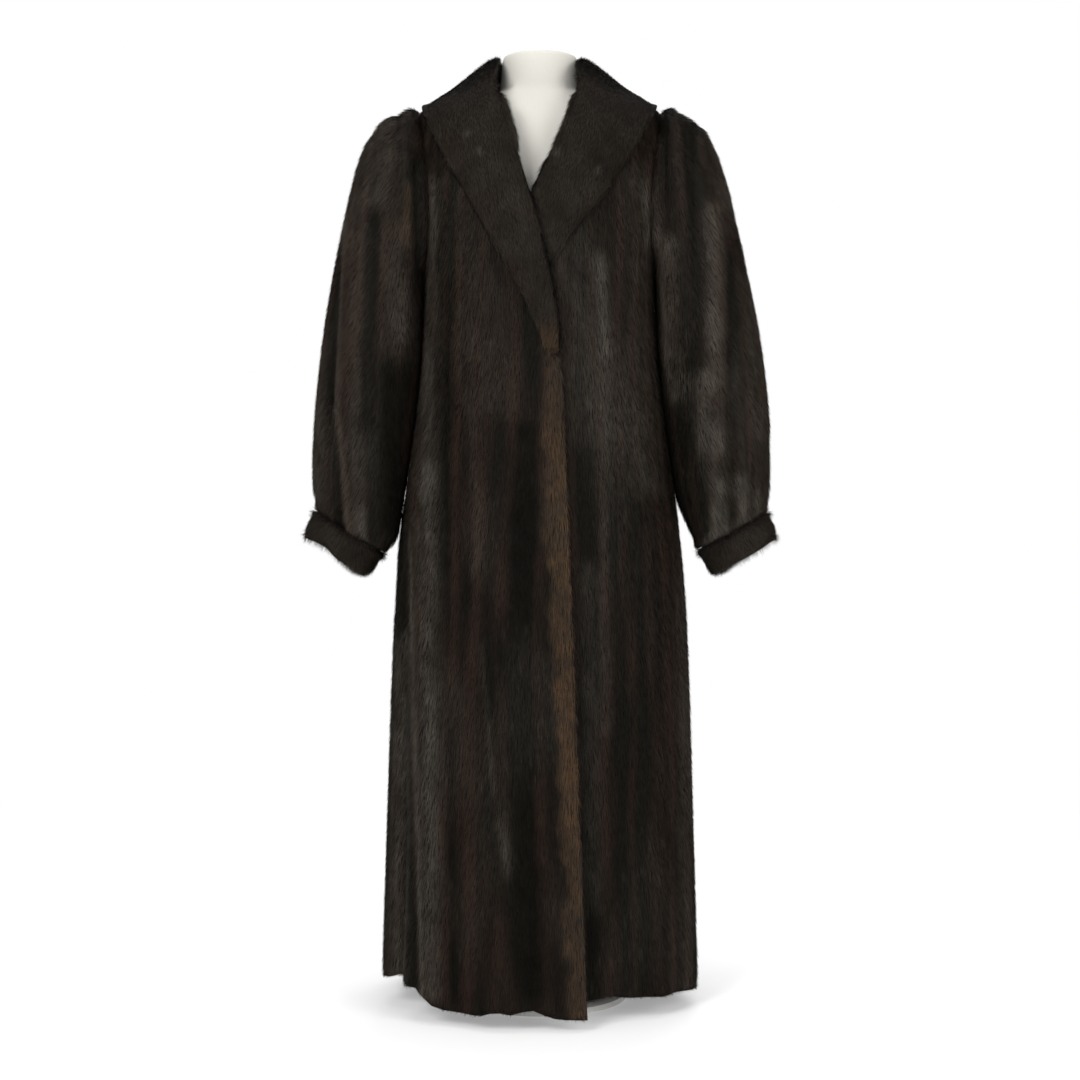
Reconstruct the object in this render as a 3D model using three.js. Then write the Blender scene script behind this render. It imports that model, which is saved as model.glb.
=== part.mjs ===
// A full-length fur coat on a limbless dress form, in millimetres.
// +Z is up, the front faces -Y and the floor is z = 0. The origin is the middle of the foot's underside.
// Right and left are the wearer's, so the right side of the coat is at -X.
import * as THREE from "three";

const RIGHT = -1;
const LEFT = 1;

// Thicknesses. A wall is the skin and its pile together, out to the tips of the hair.
const coatWall = 9;
const collarWall = 8;
const seamGap = 0.4;
const layerGap = 0.6;
const restGap = 0.9; // between a sleeve and the side that it hangs against
const edgeRounding = 0.3; // share of a wall that a free edge gives up, so that it looks rolled

// Heights of the coat.
const hemHeight = 20;
const armpitHeight = 985;
const shoulderHeight = 1214;
const neckHeight = 1252;

// Rings of the body, from the hem to the neck. The two fronts have their own depths, because the
// right one laps over the left and swings forward at the hem.
const bodyRings = [
  { z: 20, halfWidth: 216, midX: -1.5, frontRight: 196, frontLeft: 168, back: 222 },
  { z: 200, halfWidth: 212, midX: -1.5, frontRight: 184, frontLeft: 164, back: 210 },
  { z: 400, halfWidth: 206, midX: -1.5, frontRight: 172, frontLeft: 160, back: 196 },
  { z: 560, halfWidth: 199, midX: -1.5, frontRight: 162, frontLeft: 156, back: 184 },
  { z: 660, halfWidth: 189, midX: -1, frontRight: 156, frontLeft: 153, back: 172 },
  { z: 740, halfWidth: 177, midX: -0.5, frontRight: 151, frontLeft: 150, back: 160 },
  { z: 830, halfWidth: 164, midX: 0, frontRight: 145, frontLeft: 145, back: 147 },
  { z: 920, halfWidth: 158, midX: 0, frontRight: 141, frontLeft: 141, back: 137 },
  { z: 985, halfWidth: 157, midX: 0, frontRight: 140, frontLeft: 140, back: 133 },
  { z: 1050, halfWidth: 160, midX: 0, frontRight: 140, frontLeft: 140, back: 131 },
  { z: 1110, halfWidth: 164, midX: 0, frontRight: 134, frontLeft: 134, back: 126 },
  { z: 1160, halfWidth: 166, midX: 0, frontRight: 124, frontLeft: 124, back: 117 },
  { z: 1190, halfWidth: 166, midX: 0, frontRight: 111, frontLeft: 111, back: 106 },
  { z: 1214, halfWidth: 163, midX: 0, frontRight: 98, frontLeft: 98, back: 95 },
  { z: 1222, halfWidth: 133, midX: 0, frontRight: 91, frontLeft: 91, back: 90 },
  { z: 1236, halfWidth: 100, midX: 0, frontRight: 84, frontLeft: 84, back: 84 },
  { z: 1252, halfWidth: 71, midX: 0, frontRight: 76, frontLeft: 76, back: 77 },
];
const ringSquareness = 2.4; // 2 is an ellipse, and more is squarer

// The largest folds, as ridges and troughs that fade out upwards. turn is the angle from the middle of
// the front, depth is the ridge's height at the hem, and spread is its half-width in degrees.
const bodyFolds = [
  { side: RIGHT, turn: 17, depth: 7, spread: 7, top: 700 },
  { side: RIGHT, turn: 28, depth: -8, spread: 5, top: 760 },
  { side: RIGHT, turn: 46, depth: 15, spread: 8, top: 900 },
  { side: RIGHT, turn: 61, depth: -25, spread: 6.5, top: 930 },
  { side: RIGHT, turn: 74, depth: 6, spread: 7, top: 640 },
  { side: RIGHT, turn: 98, depth: -11, spread: 7, top: 760 },
  { side: RIGHT, turn: 116, depth: 13, spread: 8, top: 860 },
  { side: RIGHT, turn: 132, depth: -14, spread: 6, top: 820 },
  { side: RIGHT, turn: 147, depth: 12, spread: 7, top: 900 },
  { side: RIGHT, turn: 164, depth: -15, spread: 7, top: 930 },
  { side: LEFT, turn: 30, depth: -6, spread: 6, top: 640 },
  { side: LEFT, turn: 43, depth: 7, spread: 7, top: 800 },
  { side: LEFT, turn: 57, depth: -9, spread: 6, top: 760 },
  { side: LEFT, turn: 70, depth: 6, spread: 6, top: 620 },
  { side: LEFT, turn: 96, depth: -12, spread: 7, top: 780 },
  { side: LEFT, turn: 111, depth: 12, spread: 7, top: 880 },
  { side: LEFT, turn: 128, depth: -13, spread: 7, top: 800 },
  { side: LEFT, turn: 144, depth: 14, spread: 7, top: 920 },
  { side: LEFT, turn: 160, depth: -13, spread: 7, top: 850 },
  { side: LEFT, turn: 178, depth: 15, spread: 8, top: 940 },
];

// How far the hem hangs above its mean height, round the coat from the middle of the front.
const hemRise = {
  [RIGHT]: [
    { turn: -30, rise: -5 },
    { turn: 20, rise: -2 },
    { turn: 40, rise: 2 },
    { turn: 52, rise: 9 },
    { turn: 90, rise: 17 },
    { turn: 180, rise: 2 },
  ],
  [LEFT]: [
    { turn: -30, rise: 8 },
    { turn: 30, rise: 8 },
    { turn: 60, rise: 4 },
    { turn: 90, rise: 1 },
    { turn: 180, rise: 2 },
  ],
};
const hemRiseReach = 320; // the height over which that rise fades out

// Where each front ends towards the middle, as x. Above the closing it runs under the collar.
const frontEdges = {
  [RIGHT]: [
    { z: 20, x: 62 },
    { z: 320, x: 51 },
    { z: 600, x: 41 },
    { z: 745, x: 33 },
    { z: 880, x: 28 },
    { z: 915, x: 20 },
    { z: 950, x: 3 },
    { z: 980, x: -15 },
    { z: 1010, x: -22 },
    { z: 1042, x: -23 },
    { z: 1091, x: -22 },
    { z: 1156, x: -38 },
    { z: 1200, x: -54 },
    { z: 1222, x: -65 },
    { z: 1252, x: -69 },
  ],
  [LEFT]: [
    { z: 20, x: -34 },
    { z: 880, x: -36 },
    { z: 940, x: -32 },
    { z: 985, x: -14 },
    { z: 1042, x: -9 },
    { z: 1091, x: -4 },
    { z: 1165, x: 34 },
    { z: 1204, x: 52 },
    { z: 1226, x: 64 },
    { z: 1252, x: 69 },
  ],
};
const lapFrom = -125; // where the right front starts to lift off the line of the left one
const lapTo = -46;
const lapLift = coatWall + layerGap + 0.3;
const lapTop = { from: 990, to: 1080 }; // the lift dies out between these heights
const edgeRollWidth = 30; // the rolled border down the right front
const edgeRollHeight = 3;
const edgeRollTop = 900;

// Armhole: an oval in the side of the body. Its half-widths are angles round the body.
const armholeMid = (shoulderHeight + armpitHeight) / 2;
const armholeHalfHeight = (shoulderHeight - armpitHeight) / 2;
const armholeTurn = { front: 29, back: 28 };
const armholeFullness = 0.8;

// Sections of the sleeves. Each is an oval that runs from its inner to its outer side, and the first is
// the armhole itself.
const sleeveRings = {
  [LEFT]: [
    { along: 0, innerX: 158, innerZ: 985, outerX: 165, outerZ: 1214, halfDepth: 74, midY: 0 },
    { along: 0.4, innerX: 159, innerZ: 977, outerX: 175, outerZ: 1218, halfDepth: 80, midY: 0 },
    { along: 1, innerX: 156, innerZ: 966, outerX: 195, outerZ: 1216, halfDepth: 86, midY: 0 },
    { along: 2, innerX: 156, innerZ: 948, outerX: 228, outerZ: 1191, halfDepth: 91, midY: -1 },
    { along: 3, innerX: 156, innerZ: 925, outerX: 247, outerZ: 1144, halfDepth: 91, midY: -2 },
    { along: 4, innerX: 158, innerZ: 896, outerX: 266, outerZ: 1078, halfDepth: 90, midY: -4 },
    { along: 5, innerX: 161, innerZ: 862, outerX: 283, outerZ: 1000, halfDepth: 89, midY: -6 },
    { along: 6, innerX: 164, innerZ: 824, outerX: 297, outerZ: 924, halfDepth: 89, midY: -8 },
    { along: 7, innerX: 169, innerZ: 784, outerX: 305, outerZ: 852, halfDepth: 89, midY: -10 },
    { along: 8, innerX: 176, innerZ: 744, outerX: 309, outerZ: 790, halfDepth: 89, midY: -12 },
    { along: 9, innerX: 183, innerZ: 706, outerX: 310, outerZ: 736, halfDepth: 86, midY: -14 },
    { along: 10, innerX: 194, innerZ: 668, outerX: 309, outerZ: 700, halfDepth: 76, midY: -16 },
    { along: 11, innerX: 204, innerZ: 638, outerX: 308, outerZ: 681, halfDepth: 60, midY: -18 },
    { along: 12, innerX: 215, innerZ: 616, outerX: 306, outerZ: 669, halfDepth: 45, midY: -19 },
  ],
  [RIGHT]: [
    { along: 0, innerX: 158, innerZ: 985, outerX: 165, outerZ: 1214, halfDepth: 74, midY: 0 },
    { along: 0.4, innerX: 159, innerZ: 977, outerX: 175, outerZ: 1218, halfDepth: 80, midY: 0 },
    { along: 1, innerX: 156, innerZ: 966, outerX: 196, outerZ: 1216, halfDepth: 86, midY: 0 },
    { along: 2, innerX: 156, innerZ: 948, outerX: 231, outerZ: 1191, halfDepth: 91, midY: -1 },
    { along: 3, innerX: 156, innerZ: 925, outerX: 253, outerZ: 1144, halfDepth: 91, midY: -2 },
    { along: 4, innerX: 158, innerZ: 896, outerX: 268, outerZ: 1078, halfDepth: 90, midY: -4 },
    { along: 5, innerX: 161, innerZ: 862, outerX: 284, outerZ: 1000, halfDepth: 89, midY: -6 },
    { along: 6, innerX: 164, innerZ: 824, outerX: 296, outerZ: 924, halfDepth: 89, midY: -8 },
    { along: 7, innerX: 169, innerZ: 784, outerX: 304, outerZ: 852, halfDepth: 89, midY: -10 },
    { along: 8, innerX: 175, innerZ: 744, outerX: 308, outerZ: 790, halfDepth: 89, midY: -12 },
    { along: 9, innerX: 181, innerZ: 704, outerX: 309, outerZ: 736, halfDepth: 86, midY: -14 },
    { along: 10, innerX: 188, innerZ: 664, outerX: 308, outerZ: 704, halfDepth: 76, midY: -16 },
    { along: 11, innerX: 194, innerZ: 634, outerX: 306, outerZ: 684, halfDepth: 60, midY: -18 },
    { along: 12, innerX: 212, innerZ: 611, outerX: 302, outerZ: 671, halfDepth: 45, midY: -19 },
  ],
};
const sleeveEnd = 12;

// Folds of the sleeves, as ridges by angle from the outer side towards the front. Each one swells from
// one section to another: the first rows are gathers at the head and the rest run into the cuff.
const sleeveFolds = {
  [LEFT]: [
    { angle: -70, height: 8, spread: 9, from: 0, peak: 1.2, to: 4 },
    { angle: -44, height: 9, spread: 9, from: 0, peak: 1.2, to: 5 },
    { angle: -18, height: 8, spread: 9, from: 0, peak: 1, to: 4 },
    { angle: 8, height: 5, spread: 9, from: 0, peak: 1, to: 3.5 },
    { angle: 33, height: 9, spread: 9, from: 0, peak: 1.2, to: 5 },
    { angle: 60, height: 9, spread: 9, from: 0, peak: 1.2, to: 4.5 },
    { angle: 84, height: 6, spread: 8, from: 0, peak: 1.4, to: 5 },
    { angle: 12, height: 8, spread: 14, from: 4, peak: 10.5, to: 12 },
    { angle: 52, height: -9, spread: 10, from: 2, peak: 10, to: 12 },
    { angle: 72, height: 9, spread: 11, from: 1, peak: 9.5, to: 12 },
    { angle: 96, height: -9, spread: 9, from: 4, peak: 10.5, to: 12 },
    { angle: 118, height: 7, spread: 10, from: 6, peak: 10, to: 12 },
    { angle: -35, height: -8, spread: 10, from: 5, peak: 10.5, to: 12 },
    { angle: -62, height: 8, spread: 11, from: 4, peak: 10, to: 12 },
    { angle: -90, height: -9, spread: 9, from: 5, peak: 10.5, to: 12 },
    { angle: -115, height: 7, spread: 10, from: 5, peak: 10, to: 12 },
  ],
  [RIGHT]: [
    { angle: -66, height: 8, spread: 9, from: 0, peak: 1.2, to: 4 },
    { angle: -40, height: 8, spread: 9, from: 0, peak: 1.2, to: 5 },
    { angle: -15, height: 8, spread: 9, from: 0, peak: 1, to: 4 },
    { angle: 11, height: 5, spread: 9, from: 0, peak: 1, to: 3.5 },
    { angle: 37, height: 9, spread: 9, from: 0, peak: 1.2, to: 5 },
    { angle: 63, height: 8, spread: 9, from: 0, peak: 1.2, to: 4.5 },
    { angle: 87, height: 6, spread: 8, from: 0, peak: 1.4, to: 5 },
    { angle: 20, height: 6, spread: 14, from: 5, peak: 10.5, to: 12 },
    { angle: 48, height: -13, spread: 8, from: 1, peak: 10, to: 12 },
    { angle: 66, height: 9, spread: 10, from: 2, peak: 9.5, to: 12 },
    { angle: 94, height: -8, spread: 9, from: 5, peak: 10.5, to: 12 },
    { angle: 116, height: 6, spread: 10, from: 6, peak: 10, to: 12 },
    { angle: -30, height: -7, spread: 10, from: 5, peak: 10.5, to: 12 },
    { angle: -58, height: 8, spread: 11, from: 4, peak: 10, to: 12 },
    { angle: -86, height: -9, spread: 9, from: 5, peak: 10.5, to: 12 },
    { angle: -112, height: 7, spread: 10, from: 5, peak: 10, to: 12 },
  ],
};

// Section of a cuff band: how far it stands out from the sleeve's end, and how far along it.
const cuffSection = [
  { out: 0, down: 0 },
  { out: 7.5, down: 5 },
  { out: 9, down: 16 },
  { out: 9, down: 29 },
  { out: 5, down: 39 },
  { out: -2, down: 44 },
  { out: -8, down: 42 },
  { out: -10, down: 32 },
  { out: -9.5, down: 16 },
  { out: -9, down: 0 },
];
const cuffDents = {
  [RIGHT]: [
    { angle: 62, depth: 8, spread: 22 },
    { angle: 180, depth: 7, spread: 45 },
  ],
  [LEFT]: [
    { angle: 40, depth: 2, spread: 20 },
    { angle: 180, depth: 5, spread: 45 },
  ],
};

// The shawl collar's lapels, a row for each section. The inner and the outer edge are points in front
// view, and the depth is worked out from the fronts that they lie on.
const lapelSections = {
  [RIGHT]: [
    { inX: 25, inZ: 870, outX: 12, outZ: 872, inLift: 9.6, outLift: 9.6 },
    { inX: 26, inZ: 906, outX: -7, outZ: 908, inLift: 9.6, outLift: 9.6 },
    { inX: 21, inZ: 948, outX: -24, outZ: 946, inLift: 10, outLift: 9.6 },
    { inX: 12, inZ: 990, outX: -43, outZ: 982, inLift: 10.4, outLift: 9 },
    { inX: 1, inZ: 1038, outX: -70, outZ: 1028, inLift: 10.4, outLift: 5 },
    { inX: -14, inZ: 1091, outX: -97, outZ: 1080, inLift: 10, outLift: 0 },
    { inX: -34, inZ: 1154, outX: -126, outZ: 1132, inLift: 3, outLift: 0 },
    { inX: -50, inZ: 1208, outX: -144, outZ: 1174, inLift: 0, outLift: 0 },
  ],
  [LEFT]: [
    { inX: -9, inZ: 986, outX: 13, outZ: 984, inLift: 0, outLift: 0 },
    { inX: -13, inZ: 1010, outX: 31, outZ: 1012, inLift: 0, outLift: 0 },
    { inX: -15, inZ: 1042, outX: 56, outZ: 1044, inLift: 0, outLift: 0 },
    { inX: -11, inZ: 1090, outX: 84, outZ: 1078, inLift: 0, outLift: 0 },
    { inX: 28, inZ: 1164, outX: 122, outZ: 1138, inLift: 0, outLift: 0 },
    { inX: 45, inZ: 1216, outX: 142, outZ: 1180, inLift: 0, outLift: 0 },
  ],
};

// Beside and behind the neck the collar stands up and falls back over. base is its inner edge, roll is
// its crest, and the outer edge lies on the body at an angle and a height.
const neckSections = {
  [RIGHT]: [
    { baseX: -59, baseY: -58, baseZ: 1240, rollX: -58, rollY: -66, rollZ: 1262, turn: 64, edgeZ: 1204 },
    { baseX: -61, baseY: -10, baseZ: 1247, rollX: -58, rollY: -15, rollZ: 1292, turn: 87, edgeZ: 1218 },
    { baseX: -60, baseY: 22, baseZ: 1247, rollX: -58, rollY: 22, rollZ: 1294, turn: 107, edgeZ: 1217.5 },
    { baseX: -45, baseY: 49.5, baseZ: 1246, rollX: -48, rollY: 54, rollZ: 1295, turn: 131, edgeZ: 1194 },
  ],
  [LEFT]: [
    { baseX: 54, baseY: -60, baseZ: 1240, rollX: 47, rollY: -68, rollZ: 1264, turn: 64, edgeZ: 1204 },
    { baseX: 61, baseY: -10, baseZ: 1247, rollX: 56, rollY: -17, rollZ: 1291, turn: 87, edgeZ: 1218 },
    { baseX: 60, baseY: 22, baseZ: 1247, rollX: 58, rollY: 22, rollZ: 1294, turn: 107, edgeZ: 1217.5 },
    { baseX: 45, baseY: 49.5, baseZ: 1246, rollX: 48, rollY: 54, rollZ: 1295, turn: 131, edgeZ: 1194 },
  ],
};
const backSection = { baseY: 63.5, baseZ: 1245, rollY: 69, rollZ: 1296, turn: 180, edgeZ: 1160 };
const neckBulge = 2;
const fallBulge = 4; // how far the middle of the collar's fall stands proud of a straight line
const collarClear = collarWall / 2 + layerGap + 1.5; // from the wall's middle to the cloth under it
const lapelFoot = 860; // the cloth under the collar reaches from here to the neck
const shoulderTurn = 1200; // the body's line bends in over the shoulder above this
const lapelTop = 1170;
const standFoot = 1225; // from here up the collar's inner half stands free of the body
const groundStep = 9;
const groundTurn = 2;
const deepest = 45; // a point further inside than this is on the other side of the coat

// The dress form, as rings from its flat underside to the top of its neck.
const formRings = [
  { z: 560, halfWidth: 128, front: 92, back: 104, middle: 4 },
  { z: 566, halfWidth: 136, front: 99, back: 111, middle: 4 },
  { z: 620, halfWidth: 148, front: 107, back: 119, middle: 4 },
  { z: 680, halfWidth: 150, front: 106, back: 120, middle: 3 },
  { z: 760, halfWidth: 140, front: 98, back: 108, middle: 0 },
  { z: 840, halfWidth: 118, front: 90, back: 92, middle: 0 },
  { z: 890, halfWidth: 110, front: 88, back: 86, middle: 0 },
  { z: 950, halfWidth: 118, front: 98, back: 92, middle: 0 },
  { z: 1020, halfWidth: 130, front: 115, back: 99, middle: 0 },
  { z: 1070, halfWidth: 136, front: 116, back: 103, middle: 0 },
  { z: 1130, halfWidth: 142, front: 103, back: 101, middle: 0 },
  { z: 1182, halfWidth: 146, front: 84, back: 90, middle: 2 },
  { z: 1205.6, halfWidth: 139, front: 70, back: 78, middle: 4 },
  { z: 1216.6, halfWidth: 120, front: 63, back: 70, middle: 4 },
  { z: 1231.6, halfWidth: 87, front: 56, back: 61, middle: 3 },
  { z: 1243, halfWidth: 57, front: 52, back: 53.5, middle: 2 },
  { z: 1258, halfWidth: 54, front: 51, back: 52, middle: 0 },
  { z: 1286, halfWidth: 53, front: 50, back: 51, middle: 0 },
  { z: 1292, halfWidth: 50, front: 47, back: 48, middle: 0 },
];
const formSides = 28;
const poleRadius = 16;
const footRadius = 118;
const footThickness = 12;
const hubRadius = 28;
const hubHeight = 40;
const roundSides = 48;

// Grids of the cloth.
const skirtRows = [20, 28, 90, 190, 300, 410, 520, 620, 710, 790, 860, 920, 958];
const neckRows = [1222, 1236, neckHeight];
const armholeSteps = 9;
const frontColumns = 15;
const backColumns = 28;
const sleeveRows = [0, 0.35, 0.7, 1.1, 1.6, 2.2, 3, 4, 5, 6, 7, 8, 8.8, 9.5, 10.1, 10.7, 11.3, 11.7, 12];
const collarRows = 52;
const collarColumns = 9;

const toRadians = Math.PI / 180;
const ease = THREE.MathUtils.smoothstep;

// A table read as smooth curves along one of its columns, with no overshoot between the rows.
function readTable(rows, along) {
  const names = Object.keys(rows[0]).filter((name) => name !== along);
  const steepness = (k, name) => (rows[k + 1][name] - rows[k][name]) / (rows[k + 1][along] - rows[k][along]);
  const slope = (k, name) => {
    if (k === 0) return steepness(0, name);
    if (k === rows.length - 1) return steepness(k - 1, name);
    const [before, after] = [steepness(k - 1, name), steepness(k, name)];
    return before * after <= 0 ? 0 : (2 * before * after) / (before + after);
  };
  return (at) => {
    const last = rows.length - 1;
    const place = THREE.MathUtils.clamp(at, rows[0][along], rows[last][along]);
    let k = 0;
    while (k < last - 1 && rows[k + 1][along] < place) k++;
    const width = rows[k + 1][along] - rows[k][along];
    const t = (place - rows[k][along]) / width;
    const found = {};
    for (const name of names) {
      found[name] =
        rows[k][name] * (1 + 2 * t) * (1 - t) ** 2 +
        slope(k, name) * width * t * (1 - t) ** 2 +
        rows[k + 1][name] * t * t * (3 - 2 * t) -
        slope(k + 1, name) * width * t * t * (1 - t);
    }
    return found;
  };
}

const bodyAt = readTable(bodyRings, "z");
const formAt = readTable(formRings, "z");

// The same for a pair of tables, one for each side.
function readBothSides(tables, along) {
  return { [RIGHT]: readTable(tables[RIGHT], along), [LEFT]: readTable(tables[LEFT], along) };
}

const sleeveAt = readBothSides(sleeveRings, "along");
const edgeAt = readBothSides(frontEdges, "z");
const riseAt = readBothSides(hemRise, "turn");

// How much longer a ring's radius is than an ellipse's in this direction.
function squareness(turn) {
  const [across, ahead] = [Math.abs(Math.sin(turn)), Math.abs(Math.cos(turn))];
  return (across ** ringSquareness + ahead ** ringSquareness) ** (-1 / ringSquareness);
}

// The height of the folds at one place, from ridges shaped like bells.
function foldHeight(side, turn, z) {
  let height = 0;
  for (const fold of bodyFolds) {
    if (fold.side !== side || z >= fold.top) continue;
    const growth = ((fold.top - z) / (fold.top - hemHeight)) ** 1.2;
    height += fold.depth * growth * Math.exp(-(((turn - fold.turn) / fold.spread) ** 2));
  }
  return height;
}

// A point of the body's line, before the walls get their thickness. turn is in degrees from the middle
// of the front, and a negative turn crosses over to the other side.
function bodyLine(side, turn, z) {
  const ring = bodyAt(z);
  const angle = turn * toRadians;
  const ahead = side === RIGHT ? ring.frontRight : ring.frontLeft;
  const depth = turn < 90 ? ahead : ring.back;
  const stretch = squareness(angle);
  let x = side * ring.halfWidth * Math.sin(angle) * stretch;
  let y = -depth * Math.cos(angle) * stretch;
  let out = foldHeight(side, turn, z);
  if (turn > 150) out += foldHeight(-side, 360 - turn, z); // a fold on the middle of the back
  if (side === RIGHT && turn < 90) {
    out += lapLift * ease(x, lapFrom, lapTo) * (1 - ease(z, lapTop.from, lapTop.to));
    const fromEdge = edgeAt[RIGHT](z).x - x;
    if (z < edgeRollTop) out += edgeRollHeight * (1 - ease(fromEdge, edgeRollWidth * 0.4, edgeRollWidth));
  }
  const reach = Math.hypot(x, y);
  x = x * (1 + out / reach) + ring.midX;
  y *= 1 + out / reach;
  const rise = riseAt[side](turn).rise * (1 - ease(z, hemHeight, hemHeight + hemRiseReach));
  return new THREE.Vector3(x, y, z + rise);
}

function bodyNormal(side, turn, z) {
  const [turnStep, heightStep] = [0.5, 1];
  const high = Math.min(z + heightStep, neckHeight);
  const low = Math.max(z - heightStep, hemHeight);
  const around = bodyLine(side, turn + turnStep, z).sub(bodyLine(side, turn - turnStep, z));
  const upward = bodyLine(side, turn, high).sub(bodyLine(side, turn, low));
  return around.cross(upward).multiplyScalar(side).normalize();
}

// A point of the body moved out along its normal.
function bodyPoint(side, turn, z, out) {
  return bodyLine(side, turn, z).addScaledVector(bodyNormal(side, turn, z), out);
}

// The turn at which a front has this x.
function turnAt(side, x, z) {
  let [low, high] = [-80, 89];
  for (let step = 0; step < 40; step++) {
    const middle = (low + high) / 2;
    const found = side * bodyLine(side, middle, z).x;
    if (found < side * x) low = middle;
    else high = middle;
  }
  return (low + high) / 2;
}

// The armhole's edge: the turn that it has at a height, in front of the side or behind it.
function armholeEdge(z, where) {
  if (z <= armpitHeight || z >= shoulderHeight) return 90;
  const angle = Math.acos((z - armholeMid) / armholeHalfHeight);
  const reach = armholeTurn[where] * Math.sin(angle) ** armholeFullness;
  return where === "front" ? 90 - reach : 90 + reach;
}

// The armhole as points and the directions of its walls, from the shoulder down the front and up the back.
function armholeLoop(side, shift) {
  const corners = [];
  for (let step = 0; step < 2 * armholeSteps; step++) {
    const angle = (step / armholeSteps) * Math.PI;
    const z = armholeMid + armholeHalfHeight * Math.cos(angle);
    const turn = armholeEdge(z, step <= armholeSteps ? "front" : "back");
    corners.push(bodyLine(side, turn, z).add(new THREE.Vector3(side * shift, 0, 0)));
  }
  const outward = corners.map((_, k) => {
    const before = corners[(k + corners.length - 1) % corners.length];
    const after = corners[(k + 1) % corners.length];
    return new THREE.Vector3(0, after.z - before.z, before.y - after.y).normalize();
  });
  return { corners, outward };
}

// A closed wall from an outer and an inner grid of points. Each edge of the grid is filled in, except
// that its columns can go right round and join up.
function wallBetween(outer, inner, joined = {}) {
  const [rows, columns] = [outer.length, outer[0].length];
  const positions = [...outer.flat(), ...inner.flat()].flatMap((p) => [p.x, p.y, p.z]);
  const at = (layer, row, column) => layer * rows * columns + (row % rows) * columns + (column % columns);
  const faces = [];
  const quad = (a, b, c, d) => faces.push(a, b, c, a, c, d);
  const rowSteps = rows - 1;
  const columnSteps = joined.columns ? columns : columns - 1;
  for (let r = 0; r < rowSteps; r++) {
    for (let c = 0; c < columnSteps; c++) {
      quad(at(0, r, c), at(0, r, c + 1), at(0, r + 1, c + 1), at(0, r + 1, c));
      quad(at(1, r, c), at(1, r + 1, c), at(1, r + 1, c + 1), at(1, r, c + 1));
    }
    if (!joined.columns) {
      quad(at(0, r, 0), at(0, r + 1, 0), at(1, r + 1, 0), at(1, r, 0));
      const c = columns - 1;
      quad(at(0, r, c), at(1, r, c), at(1, r + 1, c), at(0, r + 1, c));
    }
  }
  for (let c = 0; c < columnSteps; c++) {
    quad(at(0, 0, c), at(1, 0, c), at(1, 0, c + 1), at(0, 0, c + 1));
    const r = rows - 1;
    quad(at(0, r, c), at(0, r, c + 1), at(1, r, c + 1), at(1, r, c));
  }
  return facingOut(positions, faces);
}

// A solid of rings of points with a flat end at the bottom and at the top, or a ring-shaped one that
// closes on itself.
function ringSolid(rings, closesOnItself) {
  const [rows, columns] = [rings.length, rings[0].length];
  const positions = rings.flat().flatMap((p) => [p.x, p.y, p.z]);
  const at = (row, column) => (row % rows) * columns + (column % columns);
  const faces = [];
  for (let r = 0; r < (closesOnItself ? rows : rows - 1); r++) {
    for (let c = 0; c < columns; c++) {
      faces.push(at(r, c), at(r, c + 1), at(r + 1, c + 1), at(r, c), at(r + 1, c + 1), at(r + 1, c));
    }
  }
  if (!closesOnItself) {
    for (let c = 1; c < columns - 1; c++) {
      faces.push(at(0, 0), at(0, c + 1), at(0, c));
      faces.push(at(rows - 1, 0), at(rows - 1, c), at(rows - 1, c + 1));
    }
  }
  return facingOut(positions, faces);
}

// A geometry whose faces point out of the solid that they close.
function facingOut(positions, faces) {
  let volume = 0;
  const corner = (k) => new THREE.Vector3().fromArray(positions, 3 * k);
  for (let f = 0; f < faces.length; f += 3) {
    volume += corner(faces[f]).dot(corner(faces[f + 1]).cross(corner(faces[f + 2])));
  }
  if (volume < 0) faces.reverse();
  const geometry = new THREE.BufferGeometry();
  geometry.setAttribute("position", new THREE.Float32BufferAttribute(positions, 3));
  geometry.setIndex(faces);
  geometry.computeVertexNormals();
  return geometry;
}

// Heights of the body's rows from the hem to the neck, with a row at each corner of the armhole.
const armholeRows = [];
for (let step = armholeSteps; step >= 0; step--) {
  armholeRows.push(armholeMid + armholeHalfHeight * Math.cos((step / armholeSteps) * Math.PI));
}
const bodyRows = [...skirtRows, ...armholeRows, ...neckRows];
const armholeStart = skirtRows.length;

// One wall of the body. place gives the side and turn of each column in a row, from 0 to 1 across, and
// walls says which of the first and last columns run along an armhole.
function bodyPanel(columns, place, armholes, freeEdges) {
  const outer = [];
  const inner = [];
  const loops = { [RIGHT]: armholeLoop(RIGHT, -seamGap / 2), [LEFT]: armholeLoop(LEFT, -seamGap / 2) };
  bodyRows.forEach((z, row) => {
    const outerRow = [];
    const innerRow = [];
    const step = row - armholeStart;
    const besideArmhole = step >= 0 && step <= armholeSteps;
    columns.forEach((across, column) => {
      const { side, turn } = place(across, z);
      const normal = bodyNormal(side, turn, z);
      let point = bodyLine(side, turn, z);
      let direction = normal.clone();
      const first = column === 0;
      const last = column === columns.length - 1;
      const hole = besideArmhole && (first ? armholes.first : last ? armholes.last : null);
      if (hole) {
        const loop = loops[hole.side];
        const down = armholeSteps - step;
        const corner = hole.where === "front" ? down : (2 * armholeSteps - down) % (2 * armholeSteps);
        point = loop.corners[corner].clone();
        direction = loop.outward[corner].clone();
        if (step === 0 || step === armholeSteps) point.y += (hole.where === "front" ? -0.5 : 0.5) * seamGap;
      }
      const free = row === 0 || (first && freeEdges.first);
      const rounding = free ? edgeRounding * coatWall : 0;
      outerRow.push(point.clone().addScaledVector(direction, -rounding));
      innerRow.push(point.clone().addScaledVector(direction, rounding * 0.6 - coatWall));
    });
    outer.push(outerRow);
    inner.push(innerRow);
  });
  return wallBetween(outer, inner);
}

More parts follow.
